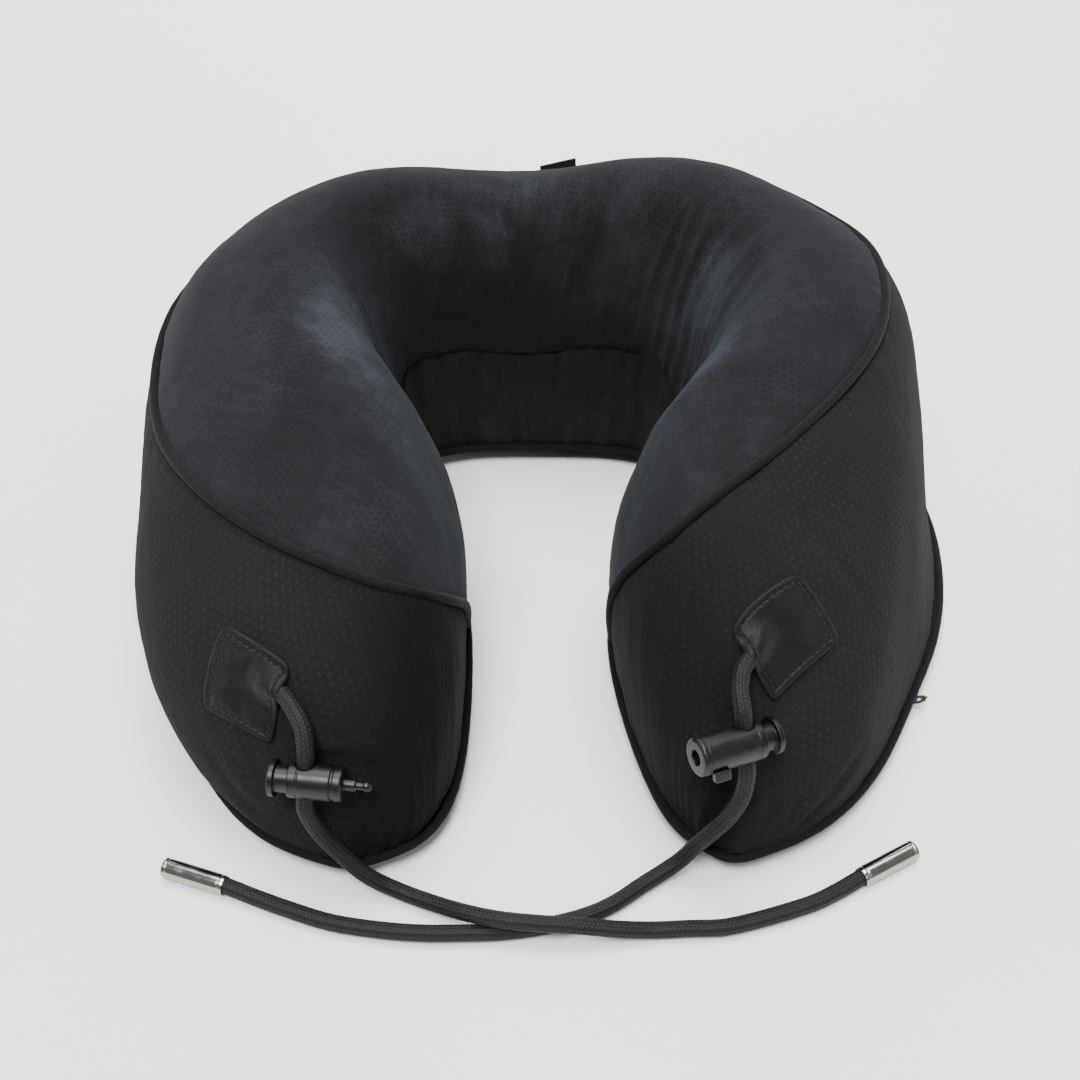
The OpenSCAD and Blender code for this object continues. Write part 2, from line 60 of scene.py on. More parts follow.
def area_light(name, at, target, size, power, colour):
    d = bpy.data.lights.new(name, "AREA")
    d.shape = "DISK"
    d.size = size
    d.energy = power
    d.color = colour
    o = bpy.data.objects.new(name, d)
    bpy.context.scene.collection.objects.link(o)
    o.location = at
    o.rotation_euler = (Vector(target) - Vector(at)).to_track_quat("-Z", "Y").to_euler()
    return o


def broad_light(name, towards, spread, strength, colour):
    """A soft light so far off that the whole floor gets the same of it."""
    d = bpy.data.lights.new(name, "SUN")
    d.angle = math.radians(spread)
    d.energy = strength
    d.color = colour
    o = bpy.data.objects.new(name, d)
    bpy.context.scene.collection.objects.link(o)
    o.location = towards
    o.rotation_euler = Vector(towards).to_track_quat("Z", "Y").to_euler()
    return o


broad_light("key", (-0.26, -0.50, 1.40), 25, 4.3, (1.0, 0.985, 0.965))
broad_light("top_back", (0.06, 0.48, 1.45), 38, 3.5, (0.96, 0.98, 1.0))
area_light("fill", (0.60, -1.05, 0.80), (0, 0, 0.05), 0.7, 3, (1.0, 0.98, 0.95))
area_light("left", (-1.70, 0.30, 0.75), (0, 0, 0.05), 1.2, 11, (1.0, 0.99, 0.98))
area_light("right", (1.70, 0.30, 0.75), (0, 0, 0.05), 1.2, 8, (0.97, 0.985, 1.0))
area_light("behind", (0.0, 1.80, 0.80), (0, 0, 0.05), 1.4, 22, (0.98, 0.99, 1.0))
world = bpy.data.worlds.new("studio")
bpy.context.scene.world = world
world.use_nodes = True
world.node_tree.nodes["Background"].inputs[0].default_value = (0.93, 0.95, 1.0, 1)
world.node_tree.nodes["Background"].inputs[1].default_value = 0.33


# ------------------------------------------------------------------ small maths
def unit(a):
    return a / np.maximum(np.linalg.norm(a, axis=-1, keepdims=True), 1e-9)


def sstep(x, a, b):
    t = np.clip((np.asarray(x, float) - a) / (b - a), 0, 1)
    return t * t * (3 - 2 * t)


def perlin(x, y, seed=0):
    x = np.asarray(x, float)
    y = np.asarray(y, float)
    x, y = np.broadcast_arrays(x, y)
    xi = np.floor(x).astype(np.int64)
    yi = np.floor(y).astype(np.int64)
    xf, yf = x - xi, y - yi

    def g(ix, iy, dx, dy):
        h = (ix * 374761393 + iy * 668265263 + seed * 974634777) & 0xFFFFFFFF
        h = ((h ^ (h >> 13)) * 1274126177) & 0xFFFFFFFF
        h = (h ^ (h >> 16)) & 0xFFFF
        a = h / 65536.0 * 2 * np.pi
        return np.cos(a) * dx + np.sin(a) * dy

    u = xf**3 * (xf * (xf * 6 - 15) + 10)
    v = yf**3 * (yf * (yf * 6 - 15) + 10)
    a = g(xi, yi, xf, yf) * (1 - u) + g(xi + 1, yi, xf - 1, yf) * u
    b = g(xi, yi + 1, xf, yf - 1) * (1 - u) + g(xi + 1, yi + 1, xf - 1, yf - 1) * u
    return (a * (1 - v) + b * v) * 1.4


def fbm(x, y, seed=0, octaves=3):
    out, amp = 0.0, 1.0
    for k in range(octaves):
        out = out + amp * perlin(x * 2**k, y * 2**k, seed + 17 * k)
        amp *= 0.5
    return out


def spline(P, t):
    """Smooth curve guided by the points of P, through its two ends."""
    P = np.asarray(P, float)
    t = np.asarray(t, float)
    n = len(P)
    E = np.concatenate([[2 * P[0] - P[1]], P, [2 * P[-1] - P[-2]]])
    i = np.clip(np.floor(t).astype(int), 0, n - 2)
    f = (t - i)[..., None] if P.ndim > 1 else t - i
    w = [(1 - f) ** 3, 3 * f**3 - 6 * f**2 + 4, -3 * f**3 + 3 * f**2 + 3 * f + 1, f**3]
    return sum(w[k] * E[i + k] for k in range(4)) / 6


def polyline(P, t):
    P = np.asarray(P, float)
    i = np.clip(np.floor(t).astype(int), 0, len(P) - 2)
    f = t - i
    if P.ndim > 1:
        f = f[..., None]
    return (1 - f) * P[i] + f * P[i + 1]


def through(P, t):
    """Curve through the points of P."""
    P = np.asarray(P, float)
    E = np.concatenate([[2 * P[0] - P[1]], P, [2 * P[-1] - P[-2]]])
    i = np.clip(np.floor(t).astype(int), 0, len(P) - 2)
    f = (t - i)[..., None]
    a, b, c, d = E[i], E[i + 1], E[i + 2], E[i + 3]
    return 0.5 * (2 * b + (c - a) * f + (2 * a - 5 * b + 4 * c - d) * f**2 + (3 * b - 3 * c + d - a) * f**3)


def arclen(P):
    return np.concatenate([[0], np.cumsum(np.linalg.norm(np.diff(P, axis=0), axis=1))])


def resample(P, step=None, count=None):
    s = arclen(P)
    n = count or max(2, int(round(s[-1] / step)) + 1)
    q = np.linspace(0, s[-1], n)
    return np.stack([np.interp(q, s, P[:, k]) for k in range(P.shape[1])], 1)


# ------------------------------------------------------------------ the pillow's surface
# outer seam x, y, inner seam x, y, height, ridge place, outer bulge low and high, inner bulge low and high, shoulder
STATIONS = [
    [-64, -143, -62, -143, 8, .5, 0, 0, 0, 0, .9],
    [-89.5, -135, -40.5, -136, 41, .6, 4, 2, 0, 0, .84],
    [-110, -113, -30.5, -116, 73, .7, 10, 3, 0, 0, .79],
    [-126, -82, -28.5, -84, 90, .72, 13, 3, 0, 0, .81],
    [-137, -46, -29, -50, 100, .68, 12, 5, 1, 1, .85],
    [-142.5, -8, -32, -16, 107, .64, 7, 5, 2, 1, .90],
    [-148, 30, -51, 10, 112, .60, 5, 7, 2, 0, .90],
    [-146, 70, -64, 36, 116, .56, 5, 7, 0, -1, .89],
    [-125, 105, -57, 60, 118, .54, 4, 4, -1, -2, .88],
    [-89, 129, -37, 67, 120, .52, 5, 4, -3, -4, .92],
    [-48, 137, -19, 68, 115, .52, 4, 4, -3, -4, .93],
    [-3, 139, -5, 68, 111, .52, 4, 4, -3, -4, .93],
    [42, 138, 9, 68, 119.5, .52, 4, 4, -3, -4, .93],
    [91, 131, 29, 67, 122.5, .52, 4, 3, -3, -4, .92],
    [126, 106, 52, 59, 113.5, .54, 4, 5, -1, -2, .90],
    [142, 74, 59, 36, 114.5, .56, 4, 6, 0, -1, .92],
    [152, 32, 47, 10, 112, .60, -7, -10, 2, 0, .92],
    [151, -6, 26, -16, 107, .64, -10, -17, 3, 1, .92],
    [142, -44, 22, -50, 101, .68, -8, -15, 3, 2, .88],
    [125, -75, 27, -84, 91, .72, -4, -11, 2, 2, .83],
    [110, -106, 34, -113, 73, .7, -1, -5, 1, 1, .80],
    [86.5, -131, 42, -132, 40, .6, 0, -1, 0, 0, .84],
    [59, -141, 57, -141, 8, .5, 0, 0, 0, 0, .9],
]
SEAM_Z = 7.0
LAST = 22
U0 = 0.05


def profile(s):
    o, i = np.array(s[0:2], float), np.array(s[2:4], float)
    w = np.linalg.norm(i - o)
    e = (i - o) / w
    h, c, b1, b2, i1, i2, sh = s[4:]

    def at(d, k):
        return [o[0] + e[0] * d, o[1] + e[1] * d, SEAM_Z + (h - SEAM_Z) * k]

    return [at(0, 0), at(-b1, .24), at(-b2, .58), at(-b2 * .5 + c * w * .34, sh), at(c * w, 1.04),
            at(c * w + (w - c * w) * .58, .95), at(w + i2, .60), at(w + i1, .24), at(w, 0)]


PROF = np.array([profile(s) for s in STATIONS])
_E = np.concatenate([[2 * PROF[0] - PROF[1]], PROF, [2 * PROF[-1] - PROF[-2]]])
_E = np.concatenate([(2 * _E[:, 0] - _E[:, 1])[:, None], _E, (2 * _E[:, -1] - _E[:, -2])[:, None]], 1)


def _w4(f):
    return [(1 - f) ** 3 / 6, (3 * f**3 - 6 * f**2 + 4) / 6, (-3 * f**3 + 3 * f**2 + 3 * f + 1) / 6, f**3 / 6]


def skin(u, v):
    u, v = np.broadcast_arrays(np.asarray(u, float), np.asarray(v, float))
    i = np.clip(np.floor(u).astype(int), 0, LAST - 1)
    j = np.clip(np.floor(v).astype(int), 0, 7)
    wu, wv = _w4(u - i), _w4(v - j)
    out = 0
    for a in range(4):
        for b in range(4):
            out = out + (wu[a] * wv[b])[..., None] * _E[i + a, j + b]
    return out


def outward(u, v):
    d = 0.04
    a, b = np.clip(u, 0.25, LAST - 0.25), np.clip(v, d, 8 - d)
    return unit(np.cross(skin(a, b + d) - skin(a, b - d), skin(a + d, b) - skin(a - d, b)))


# arc-length coordinates over the skin, in mm, for weave and wrinkles
_UG = np.linspace(0, LAST, 441)
_VG = np.linspace(0, 8, 161)
_SG = skin(_UG[:, None], _VG[None, :])
_YG = np.concatenate([np.zeros((441, 1)), np.cumsum(np.linalg.norm(np.diff(_SG, axis=1), axis=2), axis=1)], 1)
_WID = np.linalg.norm(_SG[:, 0] - _SG[:, -1], axis=1)


def arc_x(u, vref):
    k = int(round(vref * 20))
    L = arclen(_SG[:, k])
    return np.interp(u, _UG, L - np.interp(11, _UG, L))


def arc_y(u, v):
    iu = np.clip(u, 0, LAST) * 20
    iv = np.clip(v, 0, 8) * 20
    a, b = np.clip(np.floor(iu).astype(int), 0, 439), np.clip(np.floor(iv).astype(int), 0, 159)
    fu, fv = iu - a, iv - b
    return ((1 - fu) * ((1 - fv) * _YG[a, b] + fv * _YG[a, b + 1]) + fu * ((1 - fv) * _YG[a + 1, b] + fv * _YG[a + 1, b + 1]))


def width_at(u):
    return np.interp(u, _UG, _WID)


UPPER_SEAM = [
    [4.3, 7.9], [3.9, 6.9], [3.12, 5.93], [2.67, 5.08], [2.59, 4.36], [2.76, 3.88], [3.12, 3.43],
    [3.58, 3.08], [4.2, 2.7], [5.2, 2.2], [6.5, 2.33], [8, 2.5], [9.5, 2.8], [11, 2.9],
    [12.5, 2.9], [13.7, 2.9], [14.6, 3.0], [15.4, 3.0], [16.3, 3.03], [17.1, 3.25], [17.74, 3.56],
    [18.27, 3.89], [18.68, 4.43], [18.78, 5.18], [18.55, 5.8], [18.2, 6.6], [17.9, 7.9],
]
INNER_EDGE_U = [4.3, 4.33, 4.4, 4.45, 4.5, 4.6, 4.7, 4.8, 5.0, 5.5, 6.6, 8, 9.5, 11, 12.5, 13.7,
                14.6, 15.4, 16.2, 16.8, 17.1, 17.3, 17.45, 17.6, 17.7, 17.8, 17.9]
LOWER_EDGE = [
    [4.3, 8], [3.6, 8], [2.6, 8], [1.2, 8], [U0, 8], [U0, 5.3], [U0, 2.7], [U0, 0], [1.5, 0],
    [4, 0], [6, 0], [8, 0], [9.5, 0], [11, 0], [12.5, 0], [13.7, 0], [14.9, 0], [16.2, 0],
    [18.2, 0], [20.5, 0], [LAST - U0, 0], [LAST - U0, 2.7], [LAST - U0, 5.3], [LAST - U0, 8],
    [20.8, 8], [19.2, 8], [17.9, 8],
]
SEAM_N = len(UPPER_SEAM) - 1


def band_v(u):
    return 8 - 1.5 * sstep(u, 6.3, 8.2) * sstep(-np.asarray(u, float), -15.6, -13.4)


# places along the upper seam, evenly spaced
_tt = np.linspace(0, SEAM_N, 2601)
_pp = spline(UPPER_SEAM, _tt)
_ps = skin(_pp[:, 0], _pp[:, 1])
_pl = arclen(_ps)


def seam_places(n):
    return np.interp(np.linspace(0, _pl[-1], n), _pl, _tt)


# ------------------------------------------------------------------ mesh helpers
def mesh_object(name, verts, faces, smooth=True, scale=MM, shift=True):
    v = np.asarray(verts, float)
    if shift:
        v = v + SHIFT
    v = v * scale
    me = bpy.data.meshes.new(name)
    faces = [np.asarray(f) for f in faces] if isinstance(faces, list) else [np.asarray(faces)]
    loops = np.concatenate([f.reshape(-1) for f in faces]).astype(np.int32)
    sizes = np.concatenate([np.full(len(f), f.shape[1], np.int32) for f in faces])
    starts = np.concatenate([[0], np.cumsum(sizes)[:-1]]).astype(np.int32)
    me.vertices.add(len(v))
    me.vertices.foreach_set("co", v.astype(np.float32).reshape(-1))
    me.loops.add(len(loops))
    me.loops.foreach_set("vertex_index", loops)
    me.polygons.add(len(sizes))
    me.polygons.foreach_set("loop_start", starts)
    me.update(calc_edges=True)
    me.validate(verbose=False)
    if smooth:
        me.polygons.foreach_set("use_smooth", np.ones(len(me.polygons), bool))
    o = bpy.data.objects.new(name, me)
    bpy.context.scene.collection.objects.link(o)
    return o


def attribute(o, name, values):
    values = np.asarray(values, np.float32)
    kind = "FLOAT" if values.ndim == 1 else "FLOAT_VECTOR"
    a = o.data.attributes.new(name, kind, "POINT")
    a.data.foreach_set("value" if kind == "FLOAT" else "vector", values.reshape(-1))


def grid_faces(n, m, flip=False, base=0, wrap_m=False, wrap_n=False):
    i = np.arange(n if wrap_n else n - 1)[:, None]
    j = np.arange(m if wrap_m else m - 1)[None, :]
    a = base + (i % n) * m + (j % m)
    b = base + ((i + 1) % n) * m + (j % m)
    c = base + ((i + 1) % n) * m + ((j + 1) % m)
    d = base + (i % n) * m + ((j + 1) % m)
    q = np.stack([x.reshape(-1) for x in np.broadcast_arrays(a, b, c, d)], 1)
    return q[:, ::-1] if flip else q


def rmf(P, up, closed=False):
    """Rotation-minimising normals and tangents along P."""
    T = unit(np.roll(P, -1, 0) - np.roll(P, 1, 0)) if closed else unit(np.gradient(P, axis=0))
    N = np.zeros_like(P)
    n = np.array(up, float)
    for i in range(len(P)):
        n = n - (n @ T[i]) * T[i]
        n = n / np.linalg.norm(n)
        N[i] = n
    return T, N, np.cross(T, N)


def tube(name, P, radius, sides, up=(0.3, 0.2, 1), closed=False, height=None, cap=True):
    """A tube along P; height(s, a) is what to add to the radius at each length and angle."""
    T, N, B = rmf(P, up, closed)
    s = arclen(P)
    a = np.arange(sides) * 2 * np.pi / sides
    S, A = np.meshgrid(s, a, indexing="ij")
    r = radius + (height(S, A) if height else 0)
    r = np.broadcast_to(r, S.shape)
    V = P[:, None] + r[..., None] * (np.cos(A)[..., None] * N[:, None] + np.sin(A)[..., None] * B[:, None])
    n = len(P)
    verts = V.reshape(-1, 3)
    faces = [grid_faces(n, sides, wrap_m=True, wrap_n=closed)]
    att = np.stack([S, A * radius, r - radius], -1).reshape(-1, 3)
    if cap and not closed:
        verts = np.concatenate([verts, P[:1], P[-1:]])
        k = np.arange(sides)
        faces.append(np.stack([np.full(sides, n * sides), (k + 1) % sides, k], 1)[:, ::-1])
        faces.append(np.stack([np.full(sides, n * sides + 1), (n - 1) * sides + k, (n - 1) * sides + (k + 1) % sides], 1)[:, ::-1])
        att = np.concatenate([att, att[:1], att[-1:]])
    o = mesh_object(name, verts, faces)
    attribute(o, "wv", att)
    return o


# ------------------------------------------------------------------ node materials
class Mat:
    def __init__(self, name):
        self.m = bpy.data.materials.new(name)
        self.m.use_nodes = True
        self.nt = self.m.node_tree
        self.nt.nodes.clear()
        self.out = self.nt.nodes.new("ShaderNodeOutputMaterial")
        self.b = self.nt.nodes.new("ShaderNodeBsdfPrincipled")
        self.nt.links.new(self.b.outputs[0], self.out.inputs["Surface"])

    def set(self, **k):
        names = {"rough": "Roughness", "metal": "Metallic", "spec": "Specular IOR Level", "sheen": "Sheen Weight",
                 "sheen_rough": "Sheen Roughness", "sheen_tint": "Sheen Tint", "coat": "Coat Weight",
                 "coat_rough": "Coat Roughness", "ior": "IOR", "colour": "Base Color"}
        for a, v in k.items():
            self.b.inputs[names[a]].default_value = (*v, 1) if isinstance(v, tuple) else v
        return self

    def node(self, kind, **k):
        n = self.nt.nodes.new(kind)
        for a, v in k.items():
            setattr(n, a, v)
        return n

    def link(self, a, b):
        self.nt.links.new(a, b)

    def put(self, socket, value):
        if isinstance(value, bpy.types.NodeSocket):
            self.link(value, socket)
        else:
            socket.default_value = value

    def math(self, op, a, b=0.0, c=0.0, clamp=False):
        n = self.node("ShaderNodeMath", operation=op, use_clamp=clamp)
        self.put(n.inputs[0], a)
        self.put(n.inputs[1], b)
        if op in ("MULTIPLY_ADD", "WRAP", "SMOOTH_MIN", "SMOOTH_MAX"):
            self.put(n.inputs[2], c)
        return n.outputs[0]

    def vec(self, op, a, b=(0, 0, 0), c=(0, 0, 0)):
        n = self.node("ShaderNodeVectorMath", operation=op)
        self.put(n.inputs[0], a)
        if op == "SCALE":
            self.put(n.inputs["Scale"], b)
        elif op not in ("LENGTH", "ABSOLUTE"):
            self.put(n.inputs[1], b)
        if op in ("WRAP",):
            self.put(n.inputs[2], c)
        return n.outputs["Value"] if op in ("LENGTH", "DOT_PRODUCT") else n.outputs[0]

    def attr(self, name="wv"):
        n = self.node("ShaderNodeAttribute", attribute_name=name)
        return n

    def geo(self):
        return self.node("ShaderNodeTexCoord").outputs["Object"]

    def noise(self, vec, scale, detail=3.0, rough=0.5, distort=0.0):
        n = self.node("ShaderNodeTexNoise")
        self.put(n.inputs["Vector"], vec)
        n.inputs["Scale"].default_value = scale
        n.inputs["Detail"].default_value = detail
        n.inputs["Roughness"].default_value = rough
        n.inputs["Distortion"].default_value = distort
        return n.outputs["Fac"] if "Fac" in n.outputs else n.outputs[0]

    def voronoi(self, vec, scale, feature="F1", rnd=1.0):
        n = self.node("ShaderNodeTexVoronoi", feature=feature)
        self.put(n.inputs["Vector"], vec)
        n.inputs["Scale"].default_value = scale
        n.inputs["Randomness"].default_value = rnd
        return n.outputs["Distance"]

    def ramp(self, fac, stops):
        n = self.node("ShaderNodeValToRGB")
        self.put(n.inputs[0], fac)
        r = n.color_ramp
        while len(r.elements) < len(stops):
            r.elements.new(0.5)
        for e, (p, c) in zip(r.elements, stops):
            e.position = p
            e.color = (*c, 1) if isinstance(c, tuple) else (c, c, c, 1)
        return n.outputs[0]

    def mix(self, fac, a, b):
        n = self.node("ShaderNodeMix", data_type="RGBA")
        self.put(n.inputs[0], fac)
        self.put(n.inputs[6], (*a, 1) if isinstance(a, tuple) else a)
        self.put(n.inputs[7], (*b, 1) if isinstance(b, tuple) else b)
        return n.outputs[2]

    def range(self, v, a, b, c, d):
        n = self.node("ShaderNodeMapRange")
        n.clamp = True
        self.put(n.inputs[0], v)
        for k, x in enumerate((a, b, c, d)):
            n.inputs[1 + k].default_value = x
        return n.outputs[0]

    def colour(self, c):
        self.link(c, self.b.inputs["Base Color"])
        return self

    def roughness(self, r):
        self.link(r, self.b.inputs["Roughness"])
        return self

    def bumps(self, *layers):
        """layers of (height in metres' worth, distance)."""
        prev = None
        for h, dist, strength in layers:
            n = self.node("ShaderNodeBump")
            n.inputs["Strength"].default_value = strength
            n.inputs["Distance"].default_value = dist
            self.link(h, n.inputs["Height"])
            if prev is not None:
                self.link(prev, n.inputs["Normal"])
            prev = n.outputs[0]
        self.link(prev, self.b.inputs["Normal"])
        return self

    def hexes(self, vec):
        """Nearest point of a hexagonal lattice of pitch 1: (hexagon distance 0..0.5, round distance, offset)."""
        r, h = (1.0, 1.7320508, 1.0), (0.5, 0.8660254, 0.5)
        a = self.vec("SUBTRACT", self.vec("WRAP", vec, r, (0, 0, 0)), h)
        b = self.vec("SUBTRACT", self.vec("WRAP", self.vec("SUBTRACT", vec, h), r, (0, 0, 0)), h)
        flat = (1, 1, 0)
        a, b = self.vec("MULTIPLY", a, flat), self.vec("MULTIPLY", b, flat)
        pick = self.math("LESS_THAN", self.vec("LENGTH", a), self.vec("LENGTH", b))
        n = self.node("ShaderNodeMix", data_type="VECTOR")
        self.put(n.inputs[0], pick)
        self.put(n.inputs[4], b)
        self.put(n.inputs[5], a)
        g = n.outputs[1]
        ab = self.vec("ABSOLUTE", g)
        sep = self.node("ShaderNodeSeparateXYZ")
        self.link(ab, sep.inputs[0])
        hd = self.math("MAXIMUM", sep.outputs[0], self.vec("DOT_PRODUCT", ab, (0.5, 0.8660254, 0)))
        return hd, self.vec("LENGTH", g), g


def use(o, m):
    o.data.materials.clear()
    o.data.materials.append(m.m if isinstance(m, Mat) else m)


def velour_material(name, perforated=True, dark=1.0, blue=1.0):
    m = Mat(name).set(rough=0.95, spec=0.05, sheen=0.045, sheen_rough=0.6, sheen_tint=(0.66, 0.72, 0.84))
    w3 = m.attr().outputs["Vector"]
    sep = m.node("ShaderNodeSeparateXYZ")
    m.link(w3, sep.inputs[0])
    w = m.vec("MULTIPLY", w3, (1, 1, 0))
    patchy = m.noise(m.vec("MULTIPLY", w, (0.030, 0.055, 0)), 1.0, 4, 0.6, 0.8)
    streak = m.noise(m.vec("MULTIPLY", w, (0.34, 0.05, 0)), 1.0, 4, 0.62, 0.35)
    mottle = m.noise(w, 0.30, 4, 0.65)
    fuzz = m.noise(w, 2.6, 2, 0.7)
    # the third value holds pile brush marks together with painted sheen and painted shade; it sets the base colour
    # below
    nap_sheen_and_shade = m.math("ADD", sep.outputs[2], m.range(patchy, 0.3, 0.7, -0.14, 0.14))
    nap_sheen_and_shade = m.math("ADD", nap_sheen_and_shade, m.range(streak, 0.3, 0.7, -0.10, 0.10))
    nap_sheen_and_shade = m.math("ADD", nap_sheen_and_shade, m.range(mottle, 0.3, 0.7, -0.10, 0.10))
    tone = lambda r, g, b: (r * dark, g * dark * (0.98 + 0.02 * blue), b * dark * (0.86 + 0.14 * blue))
    c = m.ramp(nap_sheen_and_shade, [(0.08, tone(0.0052, 0.0053, 0.0056)), (0.40, tone(0.0094, 0.0097, 0.0104)),
                     (0.66, tone(0.0150, 0.0158, 0.0175)), (0.98, tone(0.0270, 0.0298, 0.0348))])
    c = m.mix(m.range(fuzz, 0.40, 0.72, 0.0, 0.36), c, tone(0.026, 0.027, 0.030))
    layers = [(m.noise(w, 1.1, 3, 0.7), 0.00035, 0.35), (patchy, 0.0010, 0.25), (streak, 0.0005, 0.3)]
    if perforated:
        _, rd, _ = m.hexes(m.vec("MULTIPLY", w, (1 / 2.7, 1 / 2.7, 0)))
        seen = m.range(m.noise(w, 0.045, 2, 0.5), 0.35, 0.6, 0.30, 0.95)
        hole = m.math("MULTIPLY", m.range(rd, 0.085, 0.165, 1.0, 0.0), seen)
        c = m.mix(m.math("MULTIPLY", hole, 0.70), c, (0.0014, 0.0014, 0.0017))
        layers.append((m.math("MULTIPLY", m.math("MULTIPLY", m.range(rd, 0.09, 0.34, 1.0, 0.0), seen), -1.0), 0.00022, 0.45))
    m.colour(c).bumps(*layers)
    return m


def honeycomb_material(name):
    m = Mat(name).set(rough=0.92, spec=0.05, sheen=0.015, sheen_rough=0.5, sheen_tint=(0.8, 0.82, 0.88))
    w3 = m.attr().outputs["Vector"]
    w = m.vec("MULTIPLY", w3, (1, 1, 0))
    wob = m.node("ShaderNodeTexNoise")
    m.put(wob.inputs["Vector"], w)
    wob.inputs["Scale"].default_value = 0.13
    wob.inputs["Detail"].default_value = 2
    warp = m.vec("MULTIPLY", m.vec("SUBTRACT", wob.outputs["Color"], (0.5, 0.5, 0.5)), (1.3, 1.3, 0))
    ww = m.vec("ADD", w, warp)
    hd, rd, g = m.hexes(m.vec("MULTIPLY", ww, (1 / 3.1, 1 / 3.1, 0)))
    cell = m.range(hd, 0.49, 0.36, 0.0, 1.0)
    dash = m.range(m.vec("LENGTH", m.vec("MULTIPLY", g, (1.9, 1.0, 0))), 0.12, 0.40, 1.0, 0.0)
    seen = m.range(m.noise(w, 0.05, 3, 0.6), 0.34, 0.62, 0.25, 1.0)
    odd = m.range(m.noise(w, 0.32, 1, 0.5), 0.3, 0.7, 0.2, 1.0)
    loops = m.voronoi(m.vec("MULTIPLY", ww, (1.5, 2.1, 0)), 1.0)
    var = m.noise(w, 0.035, 3, 0.5)
    fuzz = m.noise(w, 1.8, 3, 0.7)
    lint = m.voronoi(w, 0.17)
    c = m.mix(cell, (0.0070, 0.0070, 0.0074), (0.0088, 0.0088, 0.0093))
    c = m.mix(m.range(loops, 0.05, 0.55, 0.45, 0.0), c, (0.0150, 0.0150, 0.0158))
    c = m.mix(m.math("MULTIPLY", m.math("MULTIPLY", dash, seen), m.math("MULTIPLY", odd, 0.62)), c, (0.0245, 0.0245, 0.0258))
    c = m.mix(m.range(var, 0.3, 0.7, 0.0, 0.30), c, (0.0125, 0.0122, 0.0128))
    c = m.mix(m.range(fuzz, 0.42, 0.74, 0.0, 0.45), c, (0.0220, 0.0220, 0.0230))
    c = m.mix(m.range(lint, 0.0, 0.05, 0.7, 0.0), c, (0.10, 0.10, 0.10))
    # painted shade: the third value darkens the inner faces of the arms
    sep = m.node("ShaderNodeSeparateXYZ")
    m.link(w3, sep.inputs[0])
    c = m.mix(m.range(sep.outputs[2], 0.0, 1.0, 0.0, 0.75), c, (0.0032, 0.0032, 0.0035))
    m.colour(c)
    m.bumps((cell, 0.00014, 0.40), (dash, 0.00018, 0.5), (m.math("MULTIPLY", loops, -1.0), 0.00020, 0.5), (m.noise(w, 2.2, 3, 0.6), 0.00012, 0.5))
    return m


def knit_material(name, base=0.008, sheen=0.07):
    m = Mat(name).set(rough=0.9, spec=0.1, sheen=sheen, sheen_rough=0.5, sheen_tint=(0.8, 0.82, 0.88))
    w = m.attr().outputs["Vector"]
    loops = m.voronoi(m.vec("MULTIPLY", w, (1.15, 1.6, 0)), 1.0, rnd=0.35)
    var = m.noise(w, 0.05, 4, 0.55)
    c = m.mix(m.range(loops, 0.1, 0.6, 1.0, 0.0), (base * 0.45,) * 3, (base * 1.35, base * 1.35, base * 1.45))
    c = m.mix(m.range(var, 0.35, 0.7, 0.0, 0.5), c, (base * 1.1, base * 1.1, base * 1.2))
    m.colour(c).bumps((m.math("MULTIPLY", loops, -1.0), 0.0003, 0.6), (m.noise(w, 0.6, 3, 0.6), 0.0004, 0.3))
    return m


def piping_material(name, tone=1.0):
    m = Mat(name).set(rough=0.85, spec=0.09, sheen=0.05 * tone, sheen_rough=0.4, sheen_tint=(0.8, 0.82, 0.88))
    w = m.attr().outputs["Vector"]
    wave = m.node("ShaderNodeTexWave", wave_type="BANDS", bands_direction="DIAGONAL")
    m.put(wave.inputs["Vector"], w)
    wave.inputs["Scale"].default_value = 0.55
    wave.inputs["Distortion"].default_value = 0.7
    loops = m.voronoi(m.vec("MULTIPLY", w, (1.7, 2.2, 0)), 1.0, rnd=0.5)
    var = m.noise(w, 0.09, 3, 0.5)
    c = m.mix(m.range(loops, 0.1, 0.6, 1.0, 0.0), (0.0040 * tone, 0.0040 * tone, 0.0043 * tone), (0.0135 * tone, 0.0135 * tone, 0.0142 * tone))
    c = m.mix(m.range(var, 0.3, 0.7, 0.0, 0.5), c, (0.0088 * tone, 0.0088 * tone, 0.0093 * tone))
    m.colour(c).bumps((wave.outputs["Fac"] if "Fac" in wave.outputs else wave.outputs[1], 0.00012, 0.4), (m.math("MULTIPLY", loops, -1.0), 0.0002, 0.5))
    return m


def leather_material(name):
    m = Mat(name).set(rough=0.48, spec=0.145)
    w = m.attr().outputs["Vector"]
    grain = m.voronoi(w, 1.25)
    grain2 = m.voronoi(w, 2.6)
    crease = m.noise(w, 0.18, 4, 0.6, 0.8)
    sep = m.node("ShaderNodeSeparateXYZ")
    m.link(w, sep.inputs[0])
    c = m.mix(m.range(grain, 0.0, 0.7, 0.0, 1.0), (0.0028, 0.0028, 0.0028), (0.0056, 0.0055, 0.0053))
    c = m.mix(m.range(crease, 0.5, 0.75, 0.0, 0.5), c, (0.0080, 0.0077, 0.0073))
    # painted highlight: the third value lightens the rounded rim of the patch
    c = m.mix(m.range(sep.outputs[2], 0.0, 1.0, 0.0, 0.6), c, (0.0150, 0.0147, 0.0144))
    m.colour(c)
    m.roughness(m.range(crease, 0.3, 0.7, 0.40, 0.56))
    m.bumps((m.math("MULTIPLY", grain, -1.0), 0.00016, 0.5), (m.math("MULTIPLY", grain2, -1.0), 0.00007, 0.4), (crease, 0.0006, 0.25))
    return m


